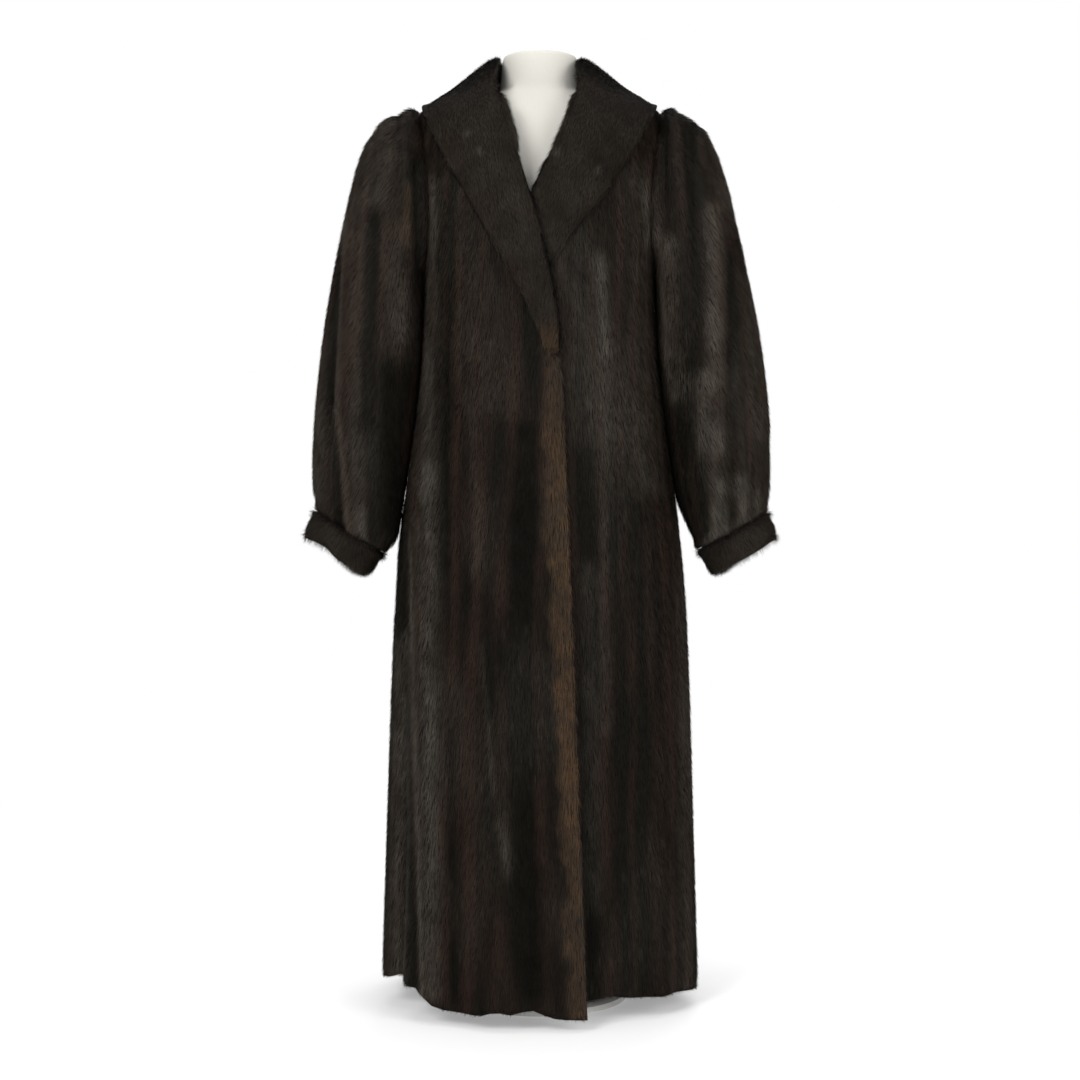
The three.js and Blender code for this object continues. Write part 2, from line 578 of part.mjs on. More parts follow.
// Even steps from 0 to 1, with a narrow first one where a free edge is rounded.
function evenSteps(count, narrowFirst) {
  const steps = Array.from({ length: count + 1 }, (_, k) => k / count);
  if (narrowFirst) steps.splice(1, 0, narrowFirst);
  return steps;
}

// The angle that half a seam's gap takes up round the body.
function seamTurn(z) {
  const ring = bodyAt(z);
  return seamGap / 2 / ring.back / toRadians;
}

function frontPanel(side) {
  const place = (across, z) => {
    const innermost = turnAt(side, edgeAt[side](z).x, z);
    const outermost = armholeEdge(z, "front") - seamTurn(z);
    return { side, turn: innermost + (outermost - innermost) * across };
  };
  const armholes = { last: { side, where: "front" } };
  return bodyPanel(evenSteps(frontColumns, 0.03), place, armholes, { first: true });
}

function backPanel() {
  const place = (across, z) => {
    const side = across < 0.5 ? RIGHT : LEFT;
    const outermost = armholeEdge(z, "back") + seamTurn(z);
    return { side, turn: outermost + (180 - outermost) * (1 - Math.abs(1 - 2 * across)) };
  };
  const armholes = { first: { side: RIGHT, where: "back" }, last: { side: LEFT, where: "back" } };
  return bodyPanel(evenSteps(backColumns), place, armholes, {});
}

// How far a sleeve's folds stand out at one place.
function sleeveFold(side, along, angle) {
  let height = 0;
  for (const fold of sleeveFolds[side]) {
    const swell = ease(along, fold.from, fold.peak) * (1 - ease(along, fold.peak, fold.to + 0.01) * 0.7);
    const off = ((((angle - fold.angle) % 360) + 540) % 360) - 180;
    height += fold.height * swell * Math.exp(-((off / fold.spread) ** 2));
  }
  return along >= sleeveEnd ? height * 0.2 : height;
}

// A section of a sleeve: its middle, half its width and half its depth as vectors.
function sleeveSection(side, along) {
  const ring = sleeveAt[side](along);
  const besideBody = bodyAt(ring.innerZ).halfWidth + restGap;
  const innerX = Math.max(ring.innerX, Math.min(along, 1) * besideBody);
  const inside = new THREE.Vector3(side * innerX, ring.midY, ring.innerZ);
  const outside = new THREE.Vector3(side * ring.outerX, ring.midY, ring.outerZ);
  return {
    middle: inside.clone().add(outside).divideScalar(2),
    across: outside.clone().sub(inside).divideScalar(2),
    ahead: new THREE.Vector3(0, -ring.halfDepth, 0),
  };
}

// A point on the outside of a sleeve. angle is in degrees, from the outer side towards the front.
function sleevePoint(side, along, angle, out = 0) {
  const { middle, across, ahead } = sleeveSection(side, along);
  const turn = angle * toRadians;
  const radial = across.clone().multiplyScalar(Math.cos(turn)).addScaledVector(ahead, Math.sin(turn));
  const length = radial.length();
  return middle.add(radial.multiplyScalar((length + sleeveFold(side, along, angle) + out) / length));
}

function sleeve(side) {
  const loop = armholeLoop(side, seamGap / 2);
  const sides = 4 * armholeSteps;
  const outer = sleeveRows.map((along, row) =>
    Array.from({ length: sides }, (_, k) => {
      if (row > 0) return sleevePoint(side, along, (k / sides) * 360);
      const corner = loop.corners[Math.floor(k / 2)];
      const next = loop.corners[Math.ceil(k / 2) % loop.corners.length];
      return corner.clone().add(next).divideScalar(2);
    }),
  );
  const inner = outer.map((points, row) =>
    points.map((point, k) => {
      if (row === 0) {
        const [a, b] = [Math.floor(k / 2), Math.ceil(k / 2) % loop.corners.length];
        const direction = loop.outward[a].clone().add(loop.outward[b]).divideScalar(2);
        return point.clone().addScaledVector(direction, -coatWall);
      }
      if (row === outer.length - 1) {
        const middle = sleeveSection(side, sleeveEnd).middle;
        return point.clone().addScaledVector(point.clone().sub(middle).normalize(), -coatWall);
      }
      const around = points[(k + 1) % sides].clone().sub(points[(k + sides - 1) % sides]);
      const lengthwise = outer[row + 1][k].clone().sub(outer[row - 1][k]);
      const normal = around.cross(lengthwise).multiplyScalar(side).normalize();
      return point.clone().addScaledVector(normal, -coatWall);
    }),
  );
  return wallBetween(outer, inner, { columns: true });
}

function cuff(side) {
  const { middle, across, ahead } = sleeveSection(side, sleeveEnd);
  const down = across.clone().cross(ahead).multiplyScalar(-side).normalize();
  if (down.z > 0) down.negate();
  const sides = 4 * armholeSteps;
  const rings = cuffSection.map((row) => {
    const points = [];
    for (let k = 0; k < sides; k++) {
      const angle = (k / sides) * 360;
      const turn = angle * toRadians;
      const radial = across.clone().multiplyScalar(Math.cos(turn)).addScaledVector(ahead, Math.sin(turn));
      const length = radial.length();
      const low = ease(row.down, 4, 40);
      let dented = 0;
      for (const dent of cuffDents[side]) {
        dented += dent.depth * low * Math.exp(-(((angle - dent.angle) / dent.spread) ** 2));
      }
      const seam = row.down === 0 ? sleeveFold(side, sleeveEnd, angle) : 0;
      const point = middle.clone().add(radial.multiplyScalar((length + seam + row.out - dented) / length));
      points.push(point.addScaledVector(down, seamGap + row.down - dented * 0.8));
    }
    return points;
  });
  return ringSolid(rings, true);
}

// Five points across the collar, in the middle of its wall: its inner edge, the stand, the roll, the
// middle of the fall and its outer edge.
function lapelPoints(section) {
  return [0, 0.14, 0.32, 0.64, 1].map((share) => {
    const x = THREE.MathUtils.lerp(section.inX, section.outX, share);
    const z = THREE.MathUtils.lerp(section.inZ, section.outZ, share);
    const turn = turnAt(LEFT, Math.abs(x), z);
    const lift = THREE.MathUtils.lerp(section.inLift, section.outLift, share);
    const point = bodyPoint(LEFT, turn, z, collarClear + lift + fallBulge * Math.sin(share * Math.PI));
    return point.setX(x);
  });
}

function neckPoints(side, section) {
  const base = new THREE.Vector3(section.baseX ?? 0, section.baseY, section.baseZ);
  const roll = new THREE.Vector3(section.rollX ?? 0, section.rollY, section.rollZ);
  const edge = bodyPoint(side, section.turn, section.edgeZ, collarClear);
  const stand = base.clone().lerp(roll, 0.55);
  const away = bodyNormal(side, section.turn, section.edgeZ).add(new THREE.Vector3(0, 0, 1)).normalize();
  const fall = roll.clone().lerp(edge, 0.5).addScaledVector(away, neckBulge);
  return [base, stand, roll, fall, edge];
}

// Points of the fronts and the back under the collar, each with the direction that faces out there.
function groundUnderCollar() {
  const ground = [];
  for (const side of [RIGHT, LEFT]) {
    for (let z = lapelFoot; z <= neckHeight; z += z < shoulderTurn ? groundStep : groundStep / 3) {
      const first = turnAt(side, edgeAt[side](z).x, z);
      for (let turn = first; turn <= 180; turn += groundTurn) {
        ground.push({ point: bodyLine(side, turn, z), normal: bodyNormal(side, turn, z) });
      }
    }
  }
  return ground;
}

// Moves points out together until their mean is clear of whatever lies under it.
function settle(points, ground, clearance) {
  const mean = new THREE.Vector3();
  for (const point of points) mean.addScaledVector(point, 1 / points.length);
  let nearest = ground[0];
  let least = Infinity;
  for (const spot of ground) {
    const distance = spot.point.distanceToSquared(mean);
    if (distance < least) [nearest, least] = [spot, distance];
  }
  const height = mean.sub(nearest.point).dot(nearest.normal);
  const sideways = Math.sqrt(Math.max(0, least - height * height));
  if (height >= clearance || height < -deepest || sideways > 2 * groundStep) return;
  for (const point of points) point.addScaledVector(nearest.normal, clearance - height);
}

// The direction that faces out at one point of a grid of points.
function gridNormal(grid, row, k) {
  const around = grid[row][Math.min(k + 1, grid[row].length - 1)].clone().sub(grid[row][Math.max(k - 1, 0)]);
  const [before, after] = [grid[Math.max(row - 1, 0)][k], grid[Math.min(row + 1, grid.length - 1)][k]];
  return after.clone().sub(before).cross(around).normalize();
}

function collar() {
  const sections = [
    ...lapelSections[RIGHT].map((section) => lapelPoints(section)),
    ...neckSections[RIGHT].map((section) => neckPoints(RIGHT, section)),
    neckPoints(RIGHT, backSection),
    ...neckSections[LEFT].map((section) => neckPoints(LEFT, section)).reverse(),
    ...lapelSections[LEFT].map((section) => lapelPoints(section)).reverse(),
  ];
  const guides = [0, 1, 2, 3, 4].map((k) => new THREE.CatmullRomCurve3(sections.map((points) => points[k])));
  const middle = [];
  for (let row = 0; row <= collarRows; row++) {
    const across = new THREE.CatmullRomCurve3(guides.map((guide) => guide.getPoint(row / collarRows)));
    middle.push(Array.from({ length: collarColumns + 1 }, (_, k) => across.getPoint(k / collarColumns)));
  }
  const ground = groundUnderCollar();
  const standsUp = (row, k) => k < collarColumns / 2 && middle[row][0].z > standFoot;
  const relax = (rows, spots) => {
    for (let pass = 0; pass < 3; pass++) {
      for (const row of rows) {
        const next = middle[Math.min(row + 1, collarRows)];
        middle[row].forEach((point, k) => {
          if (standsUp(row, k)) return;
          const beside = middle[row][Math.min(k + 1, collarColumns)];
          const opposite = next[Math.min(k + 1, collarColumns)];
          if (pass > 0 && beside !== point && next[k] !== point) {
            settle([point, beside, opposite, next[k]], spots, collarClear);
          }
          if (pass !== 1) settle([point], spots, collarClear);
        });
      }
    }
  };
  const allRows = middle.map((_, row) => row);
  const smooth = (rows) => {
    const before = middle.map((points) => points.map((point) => point.clone()));
    for (const row of rows) {
      if (row === 0 || row === collarRows) continue;
      for (let k = 0; k <= collarColumns; k++) {
        if (standsUp(row, k)) continue;
        const mean = before[row - 1][k].clone().add(before[row + 1][k]).divideScalar(2);
        const normal = gridNormal(before, row, k);
        middle[row][k].addScaledVector(normal, 0.5 * mean.sub(before[row][k]).dot(normal));
      }
    }
  };
  relax(allRows, ground);
  const leftLapel = allRows.filter((row) => row > collarRows / 2 && middle[row][0].z < lapelTop);
  const rightLapel = allRows.filter((row) => row < collarRows / 2 && middle[row][0].z < lapelTop);
  const overLeft = leftLapel.flatMap((row) =>
    middle[row].map((point, k) => {
      const normal = gridNormal(middle, row, k);
      return { point: point.clone().addScaledVector(normal, collarWall / 2), normal };
    }),
  );
  for (let pass = 0; pass < 4; pass++) {
    smooth(allRows);
    relax(allRows, ground);
    smooth(rightLapel);
    relax(rightLapel, ground);
    relax(rightLapel, overLeft);
  }
  const layer = (share) =>
    middle.map((points, row) =>
      points.map((point, k) => {
        const free = k === collarColumns || row === 0 || row === collarRows ? 1 - 2 * edgeRounding : 1;
        return point.clone().addScaledVector(gridNormal(middle, row, k), (share * free * collarWall) / 2);
      }),
    );
  return wallBetween(layer(1), layer(-1));
}

function dressForm() {
  const rings = formRings.map(({ z }) => {
    const ring = formAt(z);
    return Array.from({ length: formSides }, (_, k) => {
      const turn = (k / formSides) * 2 * Math.PI;
      const depth = Math.cos(turn) > 0 ? ring.front : ring.back;
      return new THREE.Vector3(ring.halfWidth * Math.sin(turn), ring.middle - depth * Math.cos(turn), z);
    });
  });
  return ringSolid(rings, false);
}

// A solid of revolution about the upright axis, from rows of radius and height.
function turned(rows) {
  const geometry = new THREE.LatheGeometry(
    rows.map(([radius, height]) => new THREE.Vector2(radius, height)),
    roundSides,
  );
  geometry.deleteAttribute("uv");
  geometry.rotateX(Math.PI / 2);
  return geometry;
}

function foot() {
  return turned([
    [0, 0],
    [footRadius, 0],
    [footRadius, footThickness * 0.6],
    [footRadius - 6, footThickness],
    [hubRadius + 8, footThickness + 2],
    [hubRadius, footThickness + 10],
    [poleRadius + 6, hubHeight],
    [0, hubHeight],
  ]);
}

function pole() {
  const [bottom, top] = [hubHeight + seamGap, formRings[0].z - seamGap];
  return turned([
    [0, bottom],
    [poleRadius, bottom],
    [poleRadius, top],
    [0, top],
  ]);
}

const fur = new THREE.MeshStandardMaterial({ color: 0x2b221f, roughness: 0.6, metalness: 0 });
const collarFur = new THREE.MeshStandardMaterial({ color: 0x261e1b, roughness: 0.65, metalness: 0 });
const jersey = new THREE.MeshStandardMaterial({ color: 0xe9e7dd, roughness: 0.85, metalness: 0 });
const paintedSteel = new THREE.MeshStandardMaterial({ color: 0xe0ded6, roughness: 0.4, metalness: 0 });

function piece(name, geometry, material) {
  const mesh = new THREE.Mesh(geometry, material);
  mesh.name = name;
  return mesh;
}

const coat = new THREE.Group();
coat.add(
  piece("front_right", frontPanel(RIGHT), fur),
  piece("front_left", frontPanel(LEFT), fur),
  piece("back", backPanel(), fur),
  piece("sleeve_right", sleeve(RIGHT), fur),
  piece("sleeve_left", sleeve(LEFT), fur),
  piece("cuff_right", cuff(RIGHT), collarFur),
  piece("cuff_left", cuff(LEFT), collarFur),
  piece("collar", collar(), collarFur),
);

const stand = new THREE.Group();
stand.add(
  piece("form_body", dressForm(), jersey),
  piece("form_pole", pole(), paintedSteel),
  piece("form_base", foot(), paintedSteel),
);

const model = new THREE.Group();
model.add(coat, stand);

export default model;
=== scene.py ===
# A full-length dark mink coat on a limbless dress form.
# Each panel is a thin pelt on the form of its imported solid, with fur grown over it by Geometry Nodes.
import math

import bmesh
import bpy
import numpy as np
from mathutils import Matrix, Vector
from mathutils.bvhtree import BVHTree
from mathutils.kdtree import KDTree


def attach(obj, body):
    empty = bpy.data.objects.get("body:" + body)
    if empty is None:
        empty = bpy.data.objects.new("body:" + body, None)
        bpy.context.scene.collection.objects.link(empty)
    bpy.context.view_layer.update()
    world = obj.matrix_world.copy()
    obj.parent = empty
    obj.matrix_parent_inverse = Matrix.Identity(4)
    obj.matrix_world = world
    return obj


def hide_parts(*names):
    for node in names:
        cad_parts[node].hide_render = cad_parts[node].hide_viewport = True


mm = 0.001
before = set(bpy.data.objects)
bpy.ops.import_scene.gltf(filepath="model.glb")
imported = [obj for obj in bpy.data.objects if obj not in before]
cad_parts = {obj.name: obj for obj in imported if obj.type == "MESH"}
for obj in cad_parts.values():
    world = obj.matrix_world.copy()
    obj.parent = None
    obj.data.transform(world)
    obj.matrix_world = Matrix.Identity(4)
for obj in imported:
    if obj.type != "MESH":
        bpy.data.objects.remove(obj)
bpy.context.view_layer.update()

# The photo's own frame: its scale holds in the plane through the form's middle.
photo = {"scale": 1.38 * mm, "midX": 541, "midY": 540, "eyeHeight": 0.628, "distance": 2.6,
         "pixels": 1080}


# Camera, floor and lights

def addCamera():
    lens = bpy.data.cameras.new("photoCamera")
    lens.sensor_width = 36
    lens.lens = lens.sensor_width * photo["distance"] / (photo["pixels"] * photo["scale"])
    camera = newPiece("photoCamera", lens)
    camera.location = (0, -photo["distance"], photo["eyeHeight"])
    camera.rotation_euler = (math.radians(90), 0, 0)
    bpy.context.scene.camera = camera


studio = {
    "lamps": [
        {"name": "keySoftbox", "at": (-1.5, -2.6, 2.3), "aim": (0, 0, 0.75), "size": 1.3, "power": 74},
        {"name": "fillSoftbox", "at": (1.9, -2.3, 1.7), "aim": (0, 0, 0.7), "size": 1.6, "power": 44},
        {"name": "topSoftbox", "at": (0, 0.2, 3.4), "aim": (0, 0, 0.9), "size": 2.2, "power": 40},
        {"name": "backSoftbox", "at": (0.6, 2.8, 2.0), "aim": (0, 0, 0.8), "size": 2.0, "power": 40},
    ],
    "backdrop": 1.0,
    "surroundings": 0.5,
}

# the floor's glow: its share beside the form, which lightens the shadows there, rising to full white from
# glowFrom to glowTo metres out
sweep = {"radius": 30.0, "sides": 96, "glow": 0.3, "glowFrom": 0.5, "glowTo": 2.2}


def addLamp(spec):
    light = bpy.data.lights.new(spec["name"], "AREA")
    light.shape = "SQUARE"
    light.size = spec["size"]
    light.energy = spec["power"]
    lamp = newPiece(spec["name"], light)
    lamp.location = spec["at"]
    lamp.rotation_euler = (Vector(spec["aim"]) - Vector(spec["at"])).to_track_quat("-Z", "Y").to_euler()


def addSurroundings():
    world = bpy.data.worlds.new("studioWhite")
    world.use_nodes = True
    tree = world.node_tree
    tree.nodes.clear()
    seen, lit = (addNode(tree, "ShaderNodeBackground", {"Strength": studio[label], "Color": (1, 1, 1, 1)})
                 for label in ("backdrop", "surroundings"))
    path = addNode(tree, "ShaderNodeLightPath")
    mixed = addNode(tree, "ShaderNodeMixShader",
                    {0: path.outputs["Is Camera Ray"], 1: lit.outputs[0], 2: seen.outputs[0]})
    addNode(tree, "ShaderNodeOutputWorld", {"Surface": mixed.outputs[0]})
    bpy.context.scene.world = world


def addFloor():
    # a pale floor that glows as if lit from below: faintly beside the form, which lightens the shadows on
    # it, and fully white away from it, where it merges into the backdrop
    shape = bmesh.new()
    bmesh.ops.create_circle(shape, cap_ends=True, segments=sweep["sides"], radius=sweep["radius"])
    floor = newPiece("floor", meshFrom(shape, "floor"))
    pale = newMottled("paleFloor", roughness=0.7, scale=(3, 3, 3), low=(0.94, 0.94, 0.935, 1),
                      high=(0.97, 0.97, 0.965, 1), raised=0.1)
    tree = pale.node_tree
    away = vectorNode(tree, "LENGTH", objectPlace(tree))
    far = addNode(tree, "ShaderNodeMapRange",
                  {"Value": away, "From Min": sweep["glowFrom"], "From Max": sweep["glowTo"],
                   "To Min": sweep["glow"], "To Max": 1.0}, interpolation_type="SMOOTHSTEP")
    glow = addNode(tree, "ShaderNodeEmission", {"Color": (1, 1, 1, 1), "Strength": 1.0})
    both = addNode(tree, "ShaderNodeMixShader",
                   {0: far.outputs["Result"], 1: tree.nodes["Principled BSDF"].outputs[0],
                    2: glow.outputs[0]})
    tree.links.new(both.outputs[0], tree.nodes["Material Output"].inputs["Surface"])
    floor.data.materials.append(pale)


# Small helpers

def addNode(tree, kind, sockets=None, **settings):
    node = tree.nodes.new(kind)
    for label, value in settings.items():
        setattr(node, label, value)
    for label, value in (sockets or {}).items():
        if isinstance(value, bpy.types.NodeSocket):
            tree.links.new(value, node.inputs[label])
        else:
            node.inputs[label].default_value = value
    return node


def mathNode(tree, operation, *values):
    return addNode(tree, "ShaderNodeMath", dict(enumerate(values)), operation=operation).outputs[0]


def vectorNode(tree, operation, *values):
    node = addNode(tree, "ShaderNodeVectorMath", dict(enumerate(values)), operation=operation)
    return node.outputs["Value" if operation in ("LENGTH", "DOT_PRODUCT") else "Vector"]


def scaled(tree, vector, factor):
    node = addNode(tree, "ShaderNodeVectorMath", {0: vector, "Scale": factor}, operation="SCALE")
    return node.outputs["Vector"]


def mixed(tree, factor, first, second, blend="MIX"):
    node = addNode(tree, "ShaderNodeMix", data_type="RGBA", blend_type=blend)
    for index, value in ((0, factor), (6, first), (7, second)):
        if isinstance(value, bpy.types.NodeSocket):
            tree.links.new(value, node.inputs[index])
        else:
            node.inputs[index].default_value = value
    return node.outputs[2]


def newMaterial(name, roughness, **settings):
    material = bpy.data.materials.new(name)
    material.use_nodes = True
    tree = material.node_tree
    surface = tree.nodes["Principled BSDF"]
    surface.inputs["Roughness"].default_value = roughness
    for label, value in settings.items():
        surface.inputs[label].default_value = value
    return tree, surface


def objectPlace(tree):
    return addNode(tree, "ShaderNodeTexCoord").outputs["Object"]


def newGroup(name, use, given, results):
    # a group of nodes, with its inputs and outputs
    tree = bpy.data.node_groups.new(name, use + "NodeTree")
    for way, sockets in (("INPUT", given), ("OUTPUT", results)):
        for label, kind in sockets:
            tree.interface.new_socket(name=label, in_out=way, socket_type="NodeSocket" + kind)
    return tree, addNode(tree, "NodeGroupInput").outputs


def mottleEffect():
    # a fine pattern in two near colours, raised a little where it is lighter
    tree, given = newGroup("fineMottle", "Shader", [("Scale", "Vector"), ("Low", "Color"), ("High", "Color"),
                                                    ("Raised", "Float")],
                           [("Color", "Color"), ("Normal", "Vector")])
    place = vectorNode(tree, "MULTIPLY", objectPlace(tree), given["Scale"])
    noise = addNode(tree, "ShaderNodeTexNoise", {"Vector": place, "Scale": 1.0, "Detail": 3}).outputs["Fac"]
    share = addNode(tree, "ShaderNodeMapRange", {"Value": noise, "From Min": 0.3, "From Max": 0.7})
    raised = addNode(tree, "ShaderNodeBump",
                     {"Height": noise, "Distance": 0.5 * mm, "Strength": given["Raised"]})
    colour = mixed(tree, share.outputs["Result"], given["Low"], given["High"])
    addNode(tree, "NodeGroupOutput", {"Color": colour, "Normal": raised.outputs[0]})
    return tree


def takeEffect(tree, surface, group, given):
    # the surface's colour and normal come from the group
    effect = addNode(tree, "ShaderNodeGroup", given, node_tree=group)
    tree.links.new(effect.outputs["Color"], surface.inputs["Base Color"])
    tree.links.new(effect.outputs["Normal"], surface.inputs["Normal"])


def newMottled(name, roughness, scale, low, high, raised, **settings):
    tree, surface = newMaterial(name, roughness, **settings)
    takeEffect(tree, surface, fineMottle, {"Scale": scale, "Low": low, "High": high, "Raised": raised})
    return bpy.data.materials[name]


def meshFrom(shape, name):
    mesh = bpy.data.meshes.new(name)
    shape.to_mesh(mesh)
    shape.free()
    return mesh


def newPiece(name, data):
    piece = bpy.data.objects.new(name, data)
    bpy.context.scene.collection.objects.link(piece)
    return piece


def meshArray(items, label, width, kind=np.float64):
    values = np.empty(len(items) * width, kind)
    items.foreach_get(label, values)
    return values.reshape(-1, width) if width > 1 else values


def unit(vectors):
    return vectors / np.maximum(np.linalg.norm(vectors, axis=1, keepdims=True), 1e-9)


def smoothStep(value, low, high):
    share = np.clip((value - low) / (high - low), 0, 1)
    return share * share * (3 - 2 * share)


def fallStep(value, full, none):
    # 1 up to the first place and 0 from the second on
    return smoothStep(-value, -none, -full)


def bump(distance, width):
    return np.exp(-(distance / width) ** 2)


noiseWaves = {"count": 7, "over": 3.5}
# each soft pattern: the size of its patches in metres, drawn out down the coat where the second is under 1
patterns = {"streak": (0.022, 0.35), "drift": (0.16, 0.4), "fine": (0.022, 0.10), "cloudy": (0.09, 0.5),
            "fleck": (0.011, 0.35), "cloud": (0.12, 0.4), "ragged": (0.035, 1), "worn": (0.030, 1),
            "scuffed": (0.008, 0.4), "collarTone": (0.11, 1), "collarGrey": (0.05, 1)}


def softNoise(points, pattern, seed):
    # a few sine waves in mixed directions, mostly from -1 to 1
    size, down = patterns[pattern]
    points = points * [1, 1, down]
    chance = np.random.default_rng(seed)
    total = np.zeros(len(points))
    for _ in range(noiseWaves["count"]):
        direction = unit(chance.normal(size=(1, 3)))[0] * chance.uniform(0.6, 1.6) * 2 * math.pi / size
        total += np.sin(points @ direction + chance.uniform(0, 2 * math.pi))
    return total / noiseWaves["over"]


def applied(piece):
    # the piece's modifiers, made part of its mesh
    depsgraph = bpy.context.evaluated_depsgraph_get()
    mesh = bpy.data.meshes.new_from_object(piece.evaluated_get(depsgraph), depsgraph=depsgraph)
    old = piece.data
    piece.modifiers.clear()
    piece.data = mesh
    mesh.name = piece.name
    if old.users == 0:
        bpy.data.meshes.remove(old)
    return piece


refining = {"weld": 0.02 * mm, "flatAngle": math.radians(30), "shapeAngle": math.radians(50),
            "rimAngle": math.radians(42)}   # edges sharper than the last stay where they are


def refined(node, name, levels, rim=1.0):
    # a finer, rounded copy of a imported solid, in faces of four sides where they pair up
    shape = bmesh.new()
    shape.from_mesh(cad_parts[node].data)
    bmesh.ops.remove_doubles(shape, verts=shape.verts, dist=refining["weld"])
    bmesh.ops.join_triangles(shape, faces=shape.faces, angle_face_threshold=refining["flatAngle"],
                             angle_shape_threshold=refining["shapeAngle"])
    shape.normal_update()
    kept = shape.edges.layers.float.new("crease_edge")
    for edge in shape.edges:
        edge[kept] = rim * (edge.calc_face_angle(0) > refining["rimAngle"])
    piece = newPiece(name, meshFrom(shape, name))
    if levels:
        rounding = piece.modifiers.new("rounding", "SUBSURF")
        rounding.levels = rounding.render_levels = levels
        applied(piece)
    piece.data.polygons.foreach_set("use_smooth", [True] * len(piece.data.polygons))
    return piece


# Where each part's outside is

bodyMid = {"x": 0.0, "y": 12 * mm, "depthShare": 0.62}   # the coat is this much shallower than wide
sleeveSlices = 14
sleeveDepth = 0.0     # from front to back, a sleeve's middle
sleeveCap = 85 * mm   # above the last slice this far under the top, the outside faces away from it


def bodyAway(points):
    across = points[:, 0] - bodyMid["x"]
    deep = (points[:, 1] - bodyMid["y"]) / bodyMid["depthShare"] ** 2
    return unit(np.column_stack([across, deep, np.zeros(len(points))]))


def sleeveMiddle(points):
    # the line down the middle of a sleeve, as functions of the height
    low, high = points[:, 2].min(), points[:, 2].max()
    heights = np.linspace(low, high, sleeveSlices + 1)
    mids = []
    for bottom, top in zip(heights[:-1], heights[1:]):
        inside = points[(points[:, 2] >= bottom) & (points[:, 2] <= top)]
        mids.append([(bottom + top) / 2, *((inside[:, :2].max(0) + inside[:, :2].min(0)) / 2)])
    mids = np.array(mids)
    return lambda z: np.column_stack([np.interp(z, mids[:, 0], mids[:, 1]),
                                      np.interp(z, mids[:, 0], mids[:, 2]), z])


def tubeAway(points):
    middle = sleeveMiddle(points)
    height = np.minimum(points[:, 2], points[:, 2].max() - min(sleeveCap, np.ptp(points[:, 2])))
    return unit(points - middle(height))


airStep = 1.0 * mm


def solidsTree(nodes):
    verts, faces = [], []
    for node in nodes:
        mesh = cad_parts[node].data
        first = len(verts)
        verts += [vertex.co for vertex in mesh.vertices]
        faces += [[first + k for k in polygon.vertices] for polygon in mesh.polygons]
    return BVHTree.FromPolygons(verts, faces)


def openAir(points, normals, reach, nodes):
    # 1 where none of these solids lies in front of the surface, 0 under a fold or between layers
    tree = solidsTree(nodes)
    clear = np.ones(len(points))
    for index, (point, normal) in enumerate(zip(points, normals)):
        normal, start, left = Vector(normal), Vector(point) + Vector(normal) * airStep, reach
        while left > 0:
            hit, facing, _, distance = tree.ray_cast(start, normal, left)
            if hit is None:
                break
            if facing.dot(normal) < 0:
                clear[index] = 0
                break
            start, left = hit + normal * airStep, left - distance - airStep   # out of the wall itself
    return clear


def nearSolids(points, nodes, near, far):
    # 1 beside one of these solids, as at a seam, and 0 from the far distance on
    tree = solidsTree(nodes)
    gaps = np.array([tree.find_nearest(Vector(p), far)[3] or far for p in points], float)
    return 1 - smoothStep(gaps, near, far)


# Fur

furDepth = {"coat": 4.0 * mm, "collar": 4.0 * mm, "cuff": 4.2 * mm}   # from the leather to the tips


hairVaried = {"lift": (0.55, 1.45), "length": (0.7, 1.2), "width": (0.7, 1.3), "side": (-1.0, 1.0)}


